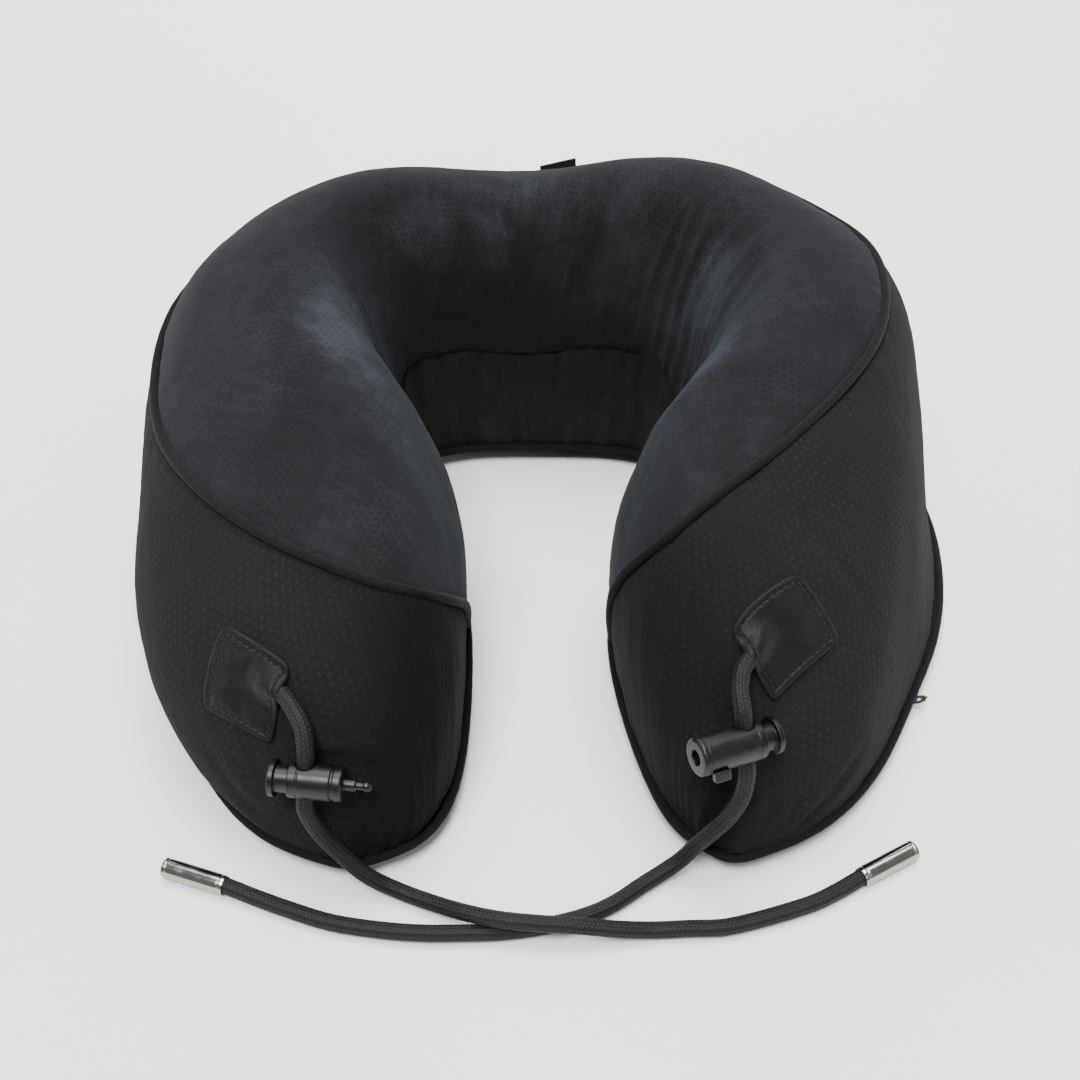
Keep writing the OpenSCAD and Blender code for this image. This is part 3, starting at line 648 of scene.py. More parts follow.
def thread_material(name, c0=(0.0060, 0.0060, 0.0064), c1=(0.0125, 0.0125, 0.0132)):
    m = Mat(name).set(rough=0.65, spec=0.25, sheen=0.08, sheen_rough=0.4, sheen_tint=(0.9, 0.9, 0.95))
    g = m.geo()
    wave = m.node("ShaderNodeTexWave", wave_type="BANDS", bands_direction="DIAGONAL")
    m.put(wave.inputs["Vector"], g)
    wave.inputs["Scale"].default_value = 900
    wave.inputs["Distortion"].default_value = 0.5
    f = wave.outputs["Fac"] if "Fac" in wave.outputs else wave.outputs[1]
    m.colour(m.mix(f, c0, c1)).bumps((f, 0.0001, 0.5))
    return m


def cord_material(name):
    m = Mat(name).set(rough=0.5, spec=0.21, sheen=0.03, sheen_rough=0.35, sheen_tint=(0.8, 0.8, 0.85))
    w = m.attr().outputs["Vector"]
    sep = m.node("ShaderNodeSeparateXYZ")
    m.link(w, sep.inputs[0])
    # painted shade and light: the braid's hollows are darkened and its crests lightened by their height
    up = m.range(sep.outputs[2], -0.08, 0.11, 0.0, 1.0)
    fibre = m.noise(m.vec("MULTIPLY", w, (2.2, 6.5, 0)), 1.0, 2, 0.6)
    c = m.mix(up, (0.0006, 0.0006, 0.0007), (0.0084, 0.0084, 0.0088))
    c = m.mix(m.range(fibre, 0.35, 0.7, 0.0, 0.5), c, (0.0160, 0.0160, 0.0170))
    m.colour(c).bumps((fibre, 0.00015, 0.6))
    return m


def metal_material(name, colour=(0.72, 0.71, 0.69), rough=0.12, scratch=0.25):
    m = Mat(name).set(metal=1.0, rough=rough, colour=colour)
    g = m.geo()
    n1 = m.noise(g, 350, 4, 0.6)
    n2 = m.noise(m.vec("MULTIPLY", g, (300, 4000, 4000)), 1.0, 2, 0.5)
    m.colour(m.mix(m.range(n1, 0.35, 0.75, 0.0, 0.5), colour, tuple(x * 0.82 for x in colour)))
    m.roughness(m.range(n1, 0.3, 0.7, rough, rough + 0.14))
    m.bumps((n2, 0.00002, scratch), (n1, 0.00004, scratch))
    return m


def plastic_material(name, base=0.0028, rough=0.31):
    m = Mat(name).set(spec=0.33, rough=rough)
    g = m.geo()
    n1 = m.noise(g, 420, 4, 0.6)
    n2 = m.noise(g, 2600, 2, 0.6)
    m.colour(m.mix(m.range(n1, 0.4, 0.75, 0.0, 0.6), (base, base, base * 1.08), (base * 2.0, base * 2.0, base * 2.1)))
    m.roughness(m.range(n1, 0.3, 0.75, rough, rough + 0.12))
    m.bumps((n2, 0.00003, 0.25), (n1, 0.00008, 0.15))
    return m


def foam_material(name):
    m = Mat(name).set(rough=0.95, spec=0.15)
    g = m.geo()
    cells = m.voronoi(g, 900)
    big = m.noise(g, 60, 4, 0.6)
    c = m.mix(m.range(cells, 0.0, 0.7, 0.0, 1.0), (0.62, 0.56, 0.42), (0.84, 0.79, 0.64))
    c = m.mix(m.range(big, 0.4, 0.7, 0.0, 0.4), c, (0.78, 0.70, 0.50))
    m.colour(c).bumps((m.math("MULTIPLY", cells, -1.0), 0.0004, 0.6), (big, 0.001, 0.3))
    return m


M_VELOUR = velour_material("velour")
M_BAND = velour_material("gathered_velour", perforated=False, dark=0.88, blue=-0.5)
M_SIDE = honeycomb_material("honeycomb_knit")
M_BASE = knit_material("base_knit")
M_PIPING = piping_material("piping")
M_HEM = piping_material("hem_piping", 0.92)
M_LEATHER = leather_material("leather")
M_THREAD = thread_material("thread")
M_CORD = cord_material("braid")
M_NICKEL = metal_material("nickel", (0.37, 0.352, 0.33), 0.09)
M_LOCK = plastic_material("lock_plastic")
M_SPRING = metal_material("spring_steel", (0.55, 0.55, 0.56), 0.3)
M_ZIPMETAL = metal_material("zip_metal", (0.30, 0.30, 0.31), 0.32)
M_PULL = metal_material("pull_metal", (0.72, 0.66, 0.58), 0.28)
M_TAPE = knit_material("zip_tape", 0.010, 0.1)
M_COIL = plastic_material("zip_nylon", 0.006, 0.38)
M_LABEL = knit_material("woven_label", 0.008, 0.3)
M_FOAM = foam_material("foam")

# ------------------------------------------------------------------ cords first
LEFT_ROUTE = [
    [-84.9, -114.5, 58.8], [-82.3, -117.2, 59.3], [-79.5, -119.5, 59], [-76.5, -123.5, 58], [-73.5, -128.5, 55.5], [-72.5, -133.5, 51.1], [-72.75, -135.5, 46.6],
    [-73, -137.5, 42], [-73.25, -139.5, 37.4], [-73.5, -141.5, 32.9], [-70.5, -142.5, 24], [-64.5, -144.7, 15.8],
    [-57, -147.5, 8.5], [-48, -149.5, 3.6], [-37, -154, 3.4], [-25, -160, 6.5], [-14, -163.3, 7.9],
    [-3, -164.5, 7.9], [8, -165, 7.5], [20, -164.6, 5], [31, -163.5, 2.8], [42, -163, 2.8], [53, -162.5, 2.8],
    [65, -159.5, 2.8], [80, -154.5, 2.8], [89, -150, 2.8], [97.5, -145, 3.2], [104.2, -141.2, 3.2],
]
RIGHT_ROUTE = [
    [63.8, -107.4, 70.6], [61.2, -110.9, 70.0], [59.1, -113.8, 68.7], [57.5, -116, 67.5], [56.4, -119.6, 66.6],
    [55.9, -124, 65.8], [56.5, -128.8, 62.9], [57, -131, 58.5], [57.5, -133.2, 54], [58, -135.4, 49.5],
    [58.5, -137.6, 45.1], [57.6, -139.4, 36.5], [54.3, -140, 27.5], [49.8, -140.2, 20], [45.5, -140, 13], [41.5, -141, 7.6], [36.5, -143, 4.4], [29, -147.5, 3], [20, -154, 2.8],
    [11, -158.5, 2.8], [-1, -162, 2.8], [-14, -164, 2.8], [-25, -164.5, 2.8], [-40, -164.5, 2.8], [-55, -163, 2.8],
    [-68, -160.5, 2.8], [-81, -156, 2.8], [-92, -151.6, 2.8], [-101, -148, 3.2], [-107.4, -145.8, 3.2],
]
CORD_D = 5.2


def braid(S, A):
    cols, pitch = 12, 1.25
    q = A / (2 * np.pi) * cols
    k = np.floor(q)
    f = q - k
    lean = 0.42 * (f - 0.5) * np.where(k % 2 == 0, 1, -1)
    p = S / pitch + 0.5 * (k % 2) + lean
    r = np.abs(np.sin(np.pi * p)) ** 0.55
    c = np.abs(np.sin(np.pi * f)) ** 0.5
    return 0.27 * (r * c - 0.62) + 0.04 * perlin(S / 1.3, A * 3, 5)


def make_cord(name, route):
    P = resample(through(route, np.linspace(0, len(route) - 1, 900)), step=0.21)
    o = tube(name, P, CORD_D / 2 - 0.05, 72, up=(1, 0, 0.2), height=braid)
    use(o, M_CORD)
    path = resample(P, step=2.0)
    return o, P, (path + SHIFT) * MM


left_cord, LP, left_path = make_cord("left_cord_braid", LEFT_ROUTE)
right_cord, RP, right_path = make_cord("right_cord_braid", RIGHT_ROUTE)

# ------------------------------------------------------------------ turned pieces


def lathe(name, prof, sides=64, M=None, material=None):
    """Turn (x, r) points about local X. Sharp corners come from close points."""
    prof = np.asarray(prof, float)
    a = np.arange(sides) * 2 * np.pi / sides
    V = np.stack([np.broadcast_to(prof[:, None, 0], (len(prof), sides)), prof[:, None, 1] * np.cos(a), prof[:, None, 1] * np.sin(a)], -1)
    o = mesh_object(name, V.reshape(-1, 3), [grid_faces(len(prof), sides, wrap_m=True, flip=True)], shift=False)
    if M is not None:
        T = np.eye(4)
        T[:3, :3] = M[0]
        T[:3, 3] = (np.asarray(M[1]) + SHIFT) * MM
        o.data.transform(Matrix(T.tolist()))
    weld(o)
    if material:
        use(o, material)
    return o


def weld(o, dist=1e-6):
    import bmesh
    bm = bmesh.new()
    bm.from_mesh(o.data)
    bmesh.ops.remove_doubles(bm, verts=bm.verts, dist=dist)
    bmesh.ops.dissolve_degenerate(bm, edges=bm.edges, dist=dist / 2)
    bmesh.ops.recalc_face_normals(bm, faces=bm.faces)
    bm.to_mesh(o.data)
    bm.free()
    o.data.polygons.foreach_set("use_smooth", np.ones(len(o.data.polygons), bool))


def rounded(points, r=0.3, steps=4):
    """Round the corners of an open (x, r) profile; corners with a zero radius entry stay sharp."""
    out = []
    pts = [np.array(p[:2], float) for p in points]
    rad = [p[2] if len(p) > 2 else r for p in points]
    for i, p in enumerate(pts):
        if i in (0, len(pts) - 1) or rad[i] == 0:
            out.append(p)
            continue
        a, b = pts[i - 1] - p, pts[i + 1] - p
        la, lb = np.linalg.norm(a), np.linalg.norm(b)
        k = min(rad[i], la * 0.48, lb * 0.48)
        A, B = p + a / la * k, p + b / lb * k
        for q in np.linspace(0, 1, steps + 1):
            out.append((1 - q) ** 2 * A + 2 * q * (1 - q) * p + q * q * B)
    return np.array(out)


def rot(axis, deg):
    return np.array(Matrix.Rotation(math.radians(deg), 3, axis))


LEFT_M = (rot("Z", -7) @ rot("X", -24), [-73, -137.5, 42])
RIGHT_M = (rot("Z", 207) @ rot("X", 26) @ rot("Y", -6.4), [57.5, -133.2, 54])


def drill(o, M, x0, x1, r, h=14):
    """Cut a round-ended slot across the local Z axis from x0 to x1."""
    n = 24
    pts = []
    for k in range(n + 1):
        a = math.pi / 2 + math.pi * k / n
        pts.append((x0 + r * math.cos(a), r * math.sin(a)))
    for k in range(n + 1):
        a = -math.pi / 2 + math.pi * k / n
        pts.append((x1 + r * math.cos(a), r * math.sin(a)))
    pts = np.array(pts)
    m = len(pts)
    V = np.concatenate([np.c_[pts, np.full(m, -h)], np.c_[pts, np.full(m, h)]])
    k = np.arange(m)
    side = np.stack([k, (k + 1) % m, (k + 1) % m + m, k + m], 1)
    me = bpy.data.meshes.new("cutter")
    me.from_pydata([tuple(x) for x in V * MM], [], [tuple(int(y) for y in f) for f in side] + [tuple(range(m))[::-1], tuple(range(m, 2 * m))])
    c = bpy.data.objects.new("cutter", me)
    bpy.context.scene.collection.objects.link(c)
    T = np.eye(4)
    T[:3, :3] = M[0]
    T[:3, 3] = (np.asarray(M[1]) + SHIFT) * MM
    me.transform(Matrix(T.tolist()))
    mod = o.modifiers.new("cut", "BOOLEAN")
    mod.operation = "DIFFERENCE"
    mod.solver = "EXACT"
    mod.object = c
    apply_modifiers(o)
    bpy.data.objects.remove(c)


def apply_modifiers(o):
    bpy.context.view_layer.update()
    dg = bpy.context.evaluated_depsgraph_get()
    me = bpy.data.meshes.new_from_object(o.evaluated_get(dg))
    old = o.data
    o.modifiers.clear()
    o.data = me
    me.name = old.name
    bpy.data.meshes.remove(old)


def soften(o, width=0.15, segments=2, angle=35):
    """Round the cut edges of a hard piece and keep its flats flat."""
    b = o.modifiers.new("edge", "BEVEL")
    b.width = width * MM
    b.segments = segments
    b.limit_method = "ANGLE"
    b.angle_limit = math.radians(angle)
    b.use_clamp_overlap = True
    b.harden_normals = False
    apply_modifiers(o)
    o.data.polygons.foreach_set("use_smooth", np.ones(len(o.data.polygons), bool))
    w = o.modifiers.new("normals", "WEIGHTED_NORMAL")
    w.keep_sharp = True
    w.weight = 60


# left lock: plug with a ringed stud
left_barrel = lathe("left_lock_body", rounded([
    (-4.8, 4.28, 0), (-4.8, 5.5, .5), (-2.2, 5.5, .1), (-2.0, 5.3, .1), (-1.6, 5.3, .1), (-1.4, 5.5, .1), (8.1, 5.5, .3), (8.3, 5.0, .1), (8.9, 5.0, .1), (9.1, 5.4, .3),
    (11.7, 5.4, .7), (11.7, 1.9, .3), (15.4, 1.9, .35), (15.5, 1.3, .25), (17.8, 1.3, .25), (17.95, 1.6, .2), (19.3, 1.6, .5),
    (20.1, 0.95, .3), (20.1, 0.0, 0), (20.1, 0.0, 0)]), 72, LEFT_M)
drill(left_barrel, LEFT_M, 0, 0, (CORD_D + 1) / 2)


def plunger(name, x1, M):
    p = rounded([(-10.5, 0, 0), (-10.5, 0, 0), (-10.5, 4.6, .2), (-10.2, 4.7, .2), (-10.2, 5.0, .2), (-10.5, 5.1, .2), (-10.5, 5.7, .45), (-8.8, 5.7, .35),
                 (-8.8, 4.2, .3), (x1, 4.2, .4), (x1, 2.5, .2), (x1 - .8, 2.5, .2), (x1 - .8, 0, 0), (x1 - .8, 0, 0)])
    o = lathe(name, p, 72, M)
    drill(o, M, -2.5, 0, (CORD_D + 0.7) / 2)
    return o


left_plunger = plunger("left_lock_button", 4.6, LEFT_M)
# right lock: socket with a small lug underneath
right_barrel = lathe("right_lock_body", rounded([
    (-4.8, 4.28, 0), (-4.8, 5.9, .5), (-2.6, 5.9, .1), (-2.4, 5.7, .1), (-2.0, 5.7, .1), (-1.8, 5.9, .1), (14.4, 5.9, .1), (14.55, 5.72, .1), (14.9, 5.72, .1), (15.05, 5.9, .1),
    (16.2, 5.9, .5), (16.8, 5.3, .4), (16.8, 2.5, .3), (16.5, 2.35, .2), (9.8, 2.35, .2), (9.8, 0, 0), (9.8, 0, 0)]), 72, RIGHT_M)
drill(right_barrel, RIGHT_M, 0, 0, (CORD_D + 1) / 2)
right_plunger = plunger("right_lock_button", 4.2, RIGHT_M)


def rounded_box(name, lo, hi, r, M, material, seg=3):
    import bmesh
    bm = bmesh.new()
    bmesh.ops.create_cube(bm, size=1.0)
    lo, hi = np.array(lo, float), np.array(hi, float)
    for v in bm.verts:
        for k in range(3):
            v.co[k] = (lo[k] + hi[k]) / 2 + v.co[k] * (hi[k] - lo[k])
    bmesh.ops.bevel(bm, geom=list(bm.edges), offset=r, segments=seg, profile=0.5, affect="EDGES")
    me = bpy.data.meshes.new(name)
    bm.to_mesh(me)
    bm.free()
    me.transform(Matrix.Scale(MM, 4))
    T = np.eye(4)
    T[:3, :3] = M[0]
    T[:3, 3] = (np.asarray(M[1]) + SHIFT) * MM
    me.transform(Matrix(T.tolist()))
    me.polygons.foreach_set("use_smooth", np.ones(len(me.polygons), bool))
    o = bpy.data.objects.new(name, me)
    bpy.context.scene.collection.objects.link(o)
    w = o.modifiers.new("normals", "WEIGHTED_NORMAL")
    w.weight = 60
    use(o, material)
    return o


lug = rounded_box("right_lock_lug", (8.6, 3.5, -6.9), (13.8, 6.1, -3.5), 0.6, RIGHT_M, M_LOCK)
for o in (left_barrel, left_plunger, right_barrel, right_plunger):
    use(o, M_LOCK)
    w = o.modifiers.new("normals", "WEIGHTED_NORMAL")
    w.keep_sharp = True
    w.weight = 60


def spring(name, x0, x1, turns, M):
    t = np.linspace(0, 1, turns * 28)
    a = 2 * np.pi * turns * t
    e = sstep(t, 0, .12) * (1 - sstep(t, .88, 1))
    P = np.stack([x0 + (x1 - x0) * (t * 0.9 + 0.05), 3.1 * np.cos(a), 3.1 * np.sin(a)], 1)
    P = P @ M[0].T + np.asarray(M[1])
    o = tube(name, P, 0.25, 10, up=(1, 0, 0.2))
    use(o, M_SPRING)
    return o


left_spring = spring("left_lock_coil", 4.95, 8.85, 4, LEFT_M)
right_spring = spring("right_lock_coil", 4.55, 7.65, 3, RIGHT_M)

# metal cord ends
TIP_PROF = rounded([(9, 0, 0), (9, 0, 0), (9, 2.75, .2), (0.05, 2.75, .15), (0.0, 3.05, .15), (1.1, 3.18, .2), (1.35, 3.0, .12), (1.75, 3.0, .12), (2.0, 3.2, .2), (19.7, 3.2, .1),
                    (19.9, 3.1, .08), (20.15, 3.1, .08), (20.35, 3.2, .1), (21.1, 3.2, .4), (21.5, 2.7, .2), (21.5, 2.5, .1), (21.3, 2.3, .1), (21.3, 0, 0), (21.3, 0, 0)], steps=5)
left_tip = lathe("left_cord_end", TIP_PROF, 80, (rot("Z", 29.6), [97.5, -145, 3.2]), M_NICKEL)
right_tip = lathe("right_cord_end", TIP_PROF, 80, (rot("Z", 161), [-101, -148, 3.2]), M_NICKEL)
for o in (left_tip, right_tip):
    w = o.modifiers.new("normals", "WEIGHTED_NORMAL")
    w.keep_sharp = True


# ------------------------------------------------------------------ flat patterns
def flatten(P, rows, cols, passes=40):
    """Lay the sheet P flat with little stretch, as the cloth was cut: a place in mm for each of its points."""
    n, m = P.shape[:2]
    i = np.unique(np.linspace(0, n - 1, rows).round().astype(int))
    j = np.unique(np.linspace(0, m - 1, cols).round().astype(int))
    Q = P[np.ix_(i, j)]
    o = mesh_object("flat_pattern", Q.reshape(-1, 3), [grid_faces(len(i), len(j))], shift=False)
    me = o.data
    me.uv_layers.new(name="flat")
    for x in bpy.context.selected_objects:
        x.select_set(False)
    bpy.context.view_layer.objects.active = o
    o.select_set(True)
    bpy.ops.object.mode_set(mode="EDIT")
    bpy.ops.mesh.select_all(action="SELECT")
    bpy.ops.uv.unwrap(method="MINIMUM_STRETCH", fill_holes=False, iterations=passes, margin=0.0)
    bpy.ops.object.mode_set(mode="OBJECT")
    uv = np.zeros(len(me.loops) * 2, np.float32)
    me.uv_layers["flat"].data.foreach_get("uv", uv)
    ids = np.zeros(len(me.loops), np.int32)
    me.loops.foreach_get("vertex_index", ids)
    F = np.zeros((len(me.vertices), 2))
    F[ids] = uv.reshape(-1, 2)
    F = F.reshape(len(i), len(j), 2)
    bpy.data.objects.remove(o)
    bpy.data.meshes.remove(me)
    size = lambda G: sum(np.linalg.norm(np.diff(G, axis=k), axis=-1).sum() for k in (0, 1))
    F = (F - F[len(i) // 2, len(j) // 2]) * size(Q) / size(F)
    d = F[len(i) // 2 + 2, len(j) // 2] - F[len(i) // 2 - 2, len(j) // 2]
    d = d / np.linalg.norm(d)
    F = F @ np.array([[d[0], -d[1]], [d[1], d[0]]])
    G = np.stack([[np.interp(np.arange(n), i, F[:, c, k]) for c in range(len(j))] for k in (0, 1)], -1)
    G = G.transpose(1, 0, 2)
    return np.stack([[np.interp(np.arange(m), j, G[r, :, k]) for r in range(n)] for k in (0, 1)], -1)


# ------------------------------------------------------------------ the cover
def tuck(P, n, depth=2.4, rows=3):
    """Extra rows past both long edges of a grid that turn in under the piping."""
    lo = [P[:, :1] - n[:, :1] * depth * (k + 1) / rows - unit(P[:, 1:2] - P[:, :1]) * 0.7 * math.sin(math.pi * (k + 1) / rows / 2) for k in range(rows)][::-1]
    hi = [P[:, -1:] - n[:, -1:] * depth * (k + 1) / rows - unit(P[:, -2:-1] - P[:, -1:]) * 0.7 * math.sin(math.pi * (k + 1) / rows / 2) for k in range(rows)]
    return np.concatenate(lo + [P] + hi, 1)


def pad_rows(A, rows=3):
    return np.concatenate([A[:, :1]] * rows + [A] + [A[:, -1:]] * rows, 1)


def strokes(P, lines, width, depth):
    """Shallow valleys along 3-D lines, for creases."""
    out = np.zeros(P.shape[:-1])
    for (line, w, d) in lines:
        L = resample(np.array([skin(*q) for q in line], float), count=24)
        best = np.full(P.shape[:-1], 1e9)
        at = np.zeros(P.shape[:-1])
        for k, q in enumerate(L):
            r = np.linalg.norm(P - q, axis=-1)
            m = r < best
            best = np.where(m, r, best)
            at = np.where(m, k / 23.0, at)
        fade = np.sin(np.pi * np.clip(at, 0.04, 0.96)) ** 0.6
        out += -d * depth * fade * (np.exp(-(best / (w * width)) ** 2) - 0.45 * np.exp(-((best - 2.2 * w * width) / (1.3 * w * width)) ** 2))
    return out


# ---- velour: top and inner faces
NT, NW = 620, 130
t = seam_places(NT)
a = spline(UPPER_SEAM, t)
bu = polyline(np.array(INNER_EDGE_U)[:, None], t)[:, 0]
b = np.stack([bu, np.where((bu < 4.31) | (bu > 17.89), 7.95, band_v(bu))], 1)
w = np.linspace(0, 1, NW)
UV = a[:, None] + (b - a)[:, None] * w[None, :, None]
U, V = UV[..., 0], UV[..., 1]
P0 = skin(U, V)
N0 = outward(U, V)
row = np.linalg.norm(np.diff(P0, axis=1), axis=2)
d0 = np.concatenate([np.zeros((NT, 1)), np.cumsum(row, 1)], 1)
d1 = d0[:, -1:] - d0
X = arc_x(U, 4.6)
Y = arc_y(U, V)
SL = np.interp(t, _tt, _pl)[:, None] + 0 * X
inner = sstep(V, 4.6, 6.2)
h = 0.75 * fbm(X / 48, Y / 38, 3, 2)
h += -1.05 * np.exp(-(d0 / 2.6) ** 2) - 0.5 * np.exp(-d0 / 9)
h += 0.55 * np.exp(-d0 / 6.5) * sstep(d0, 0.3, 2.5) * perlin(SL / 4.6, d0 / 16, 11) + 0.4 * np.exp(-d0 / 12) * perlin(SL / 11, d0 / 22, 12)
h += -0.9 * np.exp(-(d1 / 2.4) ** 2) + 0.5 * np.exp(-d1 / 9) * perlin(X / 5.0, d1 / 14, 13)
# upright folds on the inner wall, strongest on the right and at the back corners
fold_r = sstep(U, 13.0, 14.2) * (1 - sstep(U, 16.6, 17.8)) * sstep(V, 3.6, 5.0)
fold_l = sstep(U, 4.6, 5.6) * (1 - sstep(U, 8.0, 9.4)) * sstep(V, 4.4, 6.0)
fold_b = sstep(U, 8.6, 9.6) * (1 - sstep(U, 12.4, 13.4)) * sstep(V, 4.8, 6.4)
wav = perlin(X / 15 + 0.5 * perlin(X / 60, Y / 40, 21), Y / 75 + 3, 22)
h += 1.5 * fold_r * (np.abs(wav) ** 0.8 * np.sign(wav))


def ridged(x, y, seed):
    """Narrow ridges between wide hollows."""
    return (1 - 3.2 * np.abs(perlin(x, y, seed))).clip(-0.6, 1)


fine_r = sstep(U, 12.9, 13.4) * (1 - sstep(U, 14.4, 15.0)) * sstep(V, 4.2, 5.0) * (1 - sstep(V, 6.5, 7.3))
fine_b = sstep(U, 9.9, 10.5) * (1 - sstep(U, 11.6, 12.2)) * sstep(V, 4.7, 5.2) * (1 - sstep(V, 5.7, 6.3))
fine_l = sstep(U, 5.2, 5.8) * (1 - sstep(U, 7.0, 7.8)) * sstep(V, 4.9, 5.6) * (1 - sstep(V, 6.8, 7.4))
h += 0.75 * fine_r * ridged(X / 7.5 + 0.35 * perlin(X / 25, Y / 30, 25), Y / 95, 26)
h += 0.45 * fine_b * ridged(X / 8.5 + 0.3 * perlin(X / 25, Y / 30, 27), Y / 60, 28)
h += 0.40 * fine_l * ridged(X / 8.0, Y / 60, 29)
h += 0.9 * fold_l * perlin(X / 13, Y / 60, 23) + 0.7 * fold_b * perlin(X / 17, Y / 50, 24)
h += 0.12 * fbm(X / 7, Y / 7, 31, 2)
h *= 1 - 0.6 * np.exp(-(np.minimum(d0, 400) * 0 + np.minimum(U - 4.2, 18 - U).clip(0, 9)) / 0.15)
PV = P0 + N0 * h[..., None]
full = tuck(PV, N0)
velour = mesh_object("velour_cover", full.reshape(-1, 3), [grid_faces(NT, full.shape[1], flip=True)])
FV = flatten(P0, 150, 26)


def nap_sheen_and_shade_field(U, V, X, Y):
    """Pile lay and brush marks, with painted sheen and painted shade: 0 dark, 1 light. The lighter patches are painted
    sheen where the light catches the pile, the darker ones low on the inner wall painted shade. Each entry: place (u,
    v), half lengths, amount, hardness.
    """
    n = 0.36 + 0.16 * fbm(X / 70, Y / 45, 131, 3)
    for u0, v0, du, dv, amount, hard in (
            (5.5, 4.5, 0.85, 0.55, 0.62, 0.5), (6.7, 4.9, 0.7, 0.5, 0.30, 0.4), (4.35, 4.9, 0.5, 0.5, 0.22, 0.3), (4.0, 5.7, 0.45, 0.9, 0.30, 0.4),
            (3.4, 4.9, 0.4, 0.5, 0.12, 0.3), (9.0, 5.15, 0.65, 0.42, 0.30, 0.9), (10.1, 5.2, 0.45, 0.38, 0.30, 0.9), (11.5, 5.3, 0.5, 0.5, 0.22, 0.9),
            (12.6, 5.4, 0.5, 0.8, 0.26, 0.8), (13.4, 5.9, 0.5, 1.0, 0.22, 0.8), (14.3, 5.6, 0.6, 0.9, 0.50, 0.5), (16.6, 5.1, 0.7, 0.5, 0.45, 0.5),
            (17.9, 5.4, 0.6, 0.6, 0.22, 0.4), (10.3, 6.1, 1.6, 0.55, -0.26, 0.6), (12.5, 6.5, 1.3, 0.5, -0.18, 0.6), (8.6, 6.2, 0.9, 0.5, -0.16, 0.6), (10.7, 4.8, 1.9, 0.55, 0.18, 0.7),
            (16.1, 4.0, 0.8, 0.5, 0.03, 0.2), (7.0, 3.9, 1.5, 0.6, 0.10, 0.2), (12.8, 4.4, 1.3, 0.5, 0.07, 0.2),
            (15.6, 6.7, 1.8, 1.0, -0.30, 0.8), (18.2, 5.6, 1.6, 0.8, -0.12, 0.6), (10.8, 4.2, 2.2, 0.6, 0.16, 0.3)):
        r = np.sqrt(((U - u0) / du) ** 2 + ((V - v0) / dv) ** 2) + hard * 0.42 * fbm(X / 9 + u0, Y / 13 + v0, 140 + int(u0 * 10), 3)
        n = n + amount * (1 - sstep(r, 0.55 * hard, 1.25))
    return np.clip(n, 0, 1)


# pile marks with painted sheen and painted shade, kept in the velour's third value
NAP_SHEEN_AND_SHADE = nap_sheen_and_shade_field(U, V, X, Y)
attribute(velour, "wv", pad_rows(np.stack([FV[..., 0], FV[..., 1], NAP_SHEEN_AND_SHADE], -1)).reshape(-1, 3))
use(velour, M_VELOUR)

# ---- knit side
NT2, NW2 = 760, 120
t = np.interp(np.linspace(0, 1, NT2), np.linspace(0, 1, 2601), 0.55 * np.interp(np.linspace(0, _pl[-1], 2601), _pl, _tt) + 0.45 * np.linspace(0, SEAM_N, 2601))
a = polyline(LOWER_EDGE, t)
b = spline(UPPER_SEAM, t)
w = np.linspace(0, 1, NW2)
UV = a[:, None] + (b - a)[:, None] * w[None, :, None]
U, V = UV[..., 0], UV[..., 1]
P0 = skin(U, V)
N0 = outward(U, V)
row = np.linalg.norm(np.diff(P0, axis=1), axis=2)
dl = np.concatenate([np.zeros((NT2, 1)), np.cumsum(row, 1)], 1)
du = dl[:, -1:] - dl
X = arc_x(U, 1.3)
Y = arc_y(U, V)
SL = np.interp(t, _tt, _pl)[:, None] + 0 * X
LL = arclen(skin(a[:, 0], a[:, 1]))[:, None] + 0 * X
h = 0.8 * fbm(X / 52, Y / 40, 41, 2)
h += -1.05 * np.exp(-(du / 2.6) ** 2) - 0.5 * np.exp(-du / 10)
h += 0.5 * np.exp(-du / 7) * sstep(du, 0.3, 2.5) * perlin(SL / 5.5, du / 16, 51) + 0.5 * np.exp(-du / 14) * perlin(SL / 14, du / 25, 52)
h += -1.1 * np.exp(-(dl / 2.6) ** 2) - 0.5 * np.exp(-dl / 9)
h += 0.6 * np.exp(-dl / 8) * perlin(LL / 6.5, dl / 18, 53) + 0.6 * np.exp(-dl / 18) * perlin(LL / 16, dl / 30, 54)
nose = np.exp(-(np.minimum(U, LAST - U) / 1.5) ** 2)
h += 1.3 * nose * perlin(Y / 11, X / 55, 55) * sstep(width_at(U), 6, 30)
h += strokes(P0, [
    ([(21.5, 0.5), (21.15, 1.1), (20.75, 1.4), (20.3, 1.5)], 2.2, 0.9),
    ([(21.6, 1.4), (21.3, 2.0), (20.9, 2.4)], 1.9, 0.8),
    ([(21.55, 2.4), (21.3, 3.1), (21.0, 3.6)], 1.9, 0.7),
    ([(21.4, 4.0), (21.0, 5.0), (20.6, 5.6)], 2.4, 0.6),
    ([(1.0, 2.2), (1.6, 2.7), (2.1, 3.0)], 2.8, 0.5),
    ([(0.7, 4.2), (1.3, 5.0), (2.0, 5.6)], 2.6, 0.7),
    ([(0.6, 1.0), (1.2, 1.5), (1.9, 1.8)], 2.6, 0.5),
    ([(18.6, 3.6), (19.0, 3.1), (19.3, 2.6)], 2.6, 0.4),
], 1.0, 1.0)
# ridge down the inside of the left arm
ridge = np.exp(-((V - 4.9 - 0.35 * (U - 2)) / 0.55) ** 2) * sstep(U, 0.4, 1.2) * (1 - sstep(U, 2.4, 3.3))
h += 1.5 * ridge
h += 0.10 * fbm(X / 6, Y / 6, 61, 2)
h *= sstep(width_at(U), 1.0, 14.0)
end = np.minimum(t, SEAM_N - t)[:, None]
h *= 0.25 + 0.75 * sstep(end, 0.0, 0.5)
PS = P0 + N0 * h[..., None]
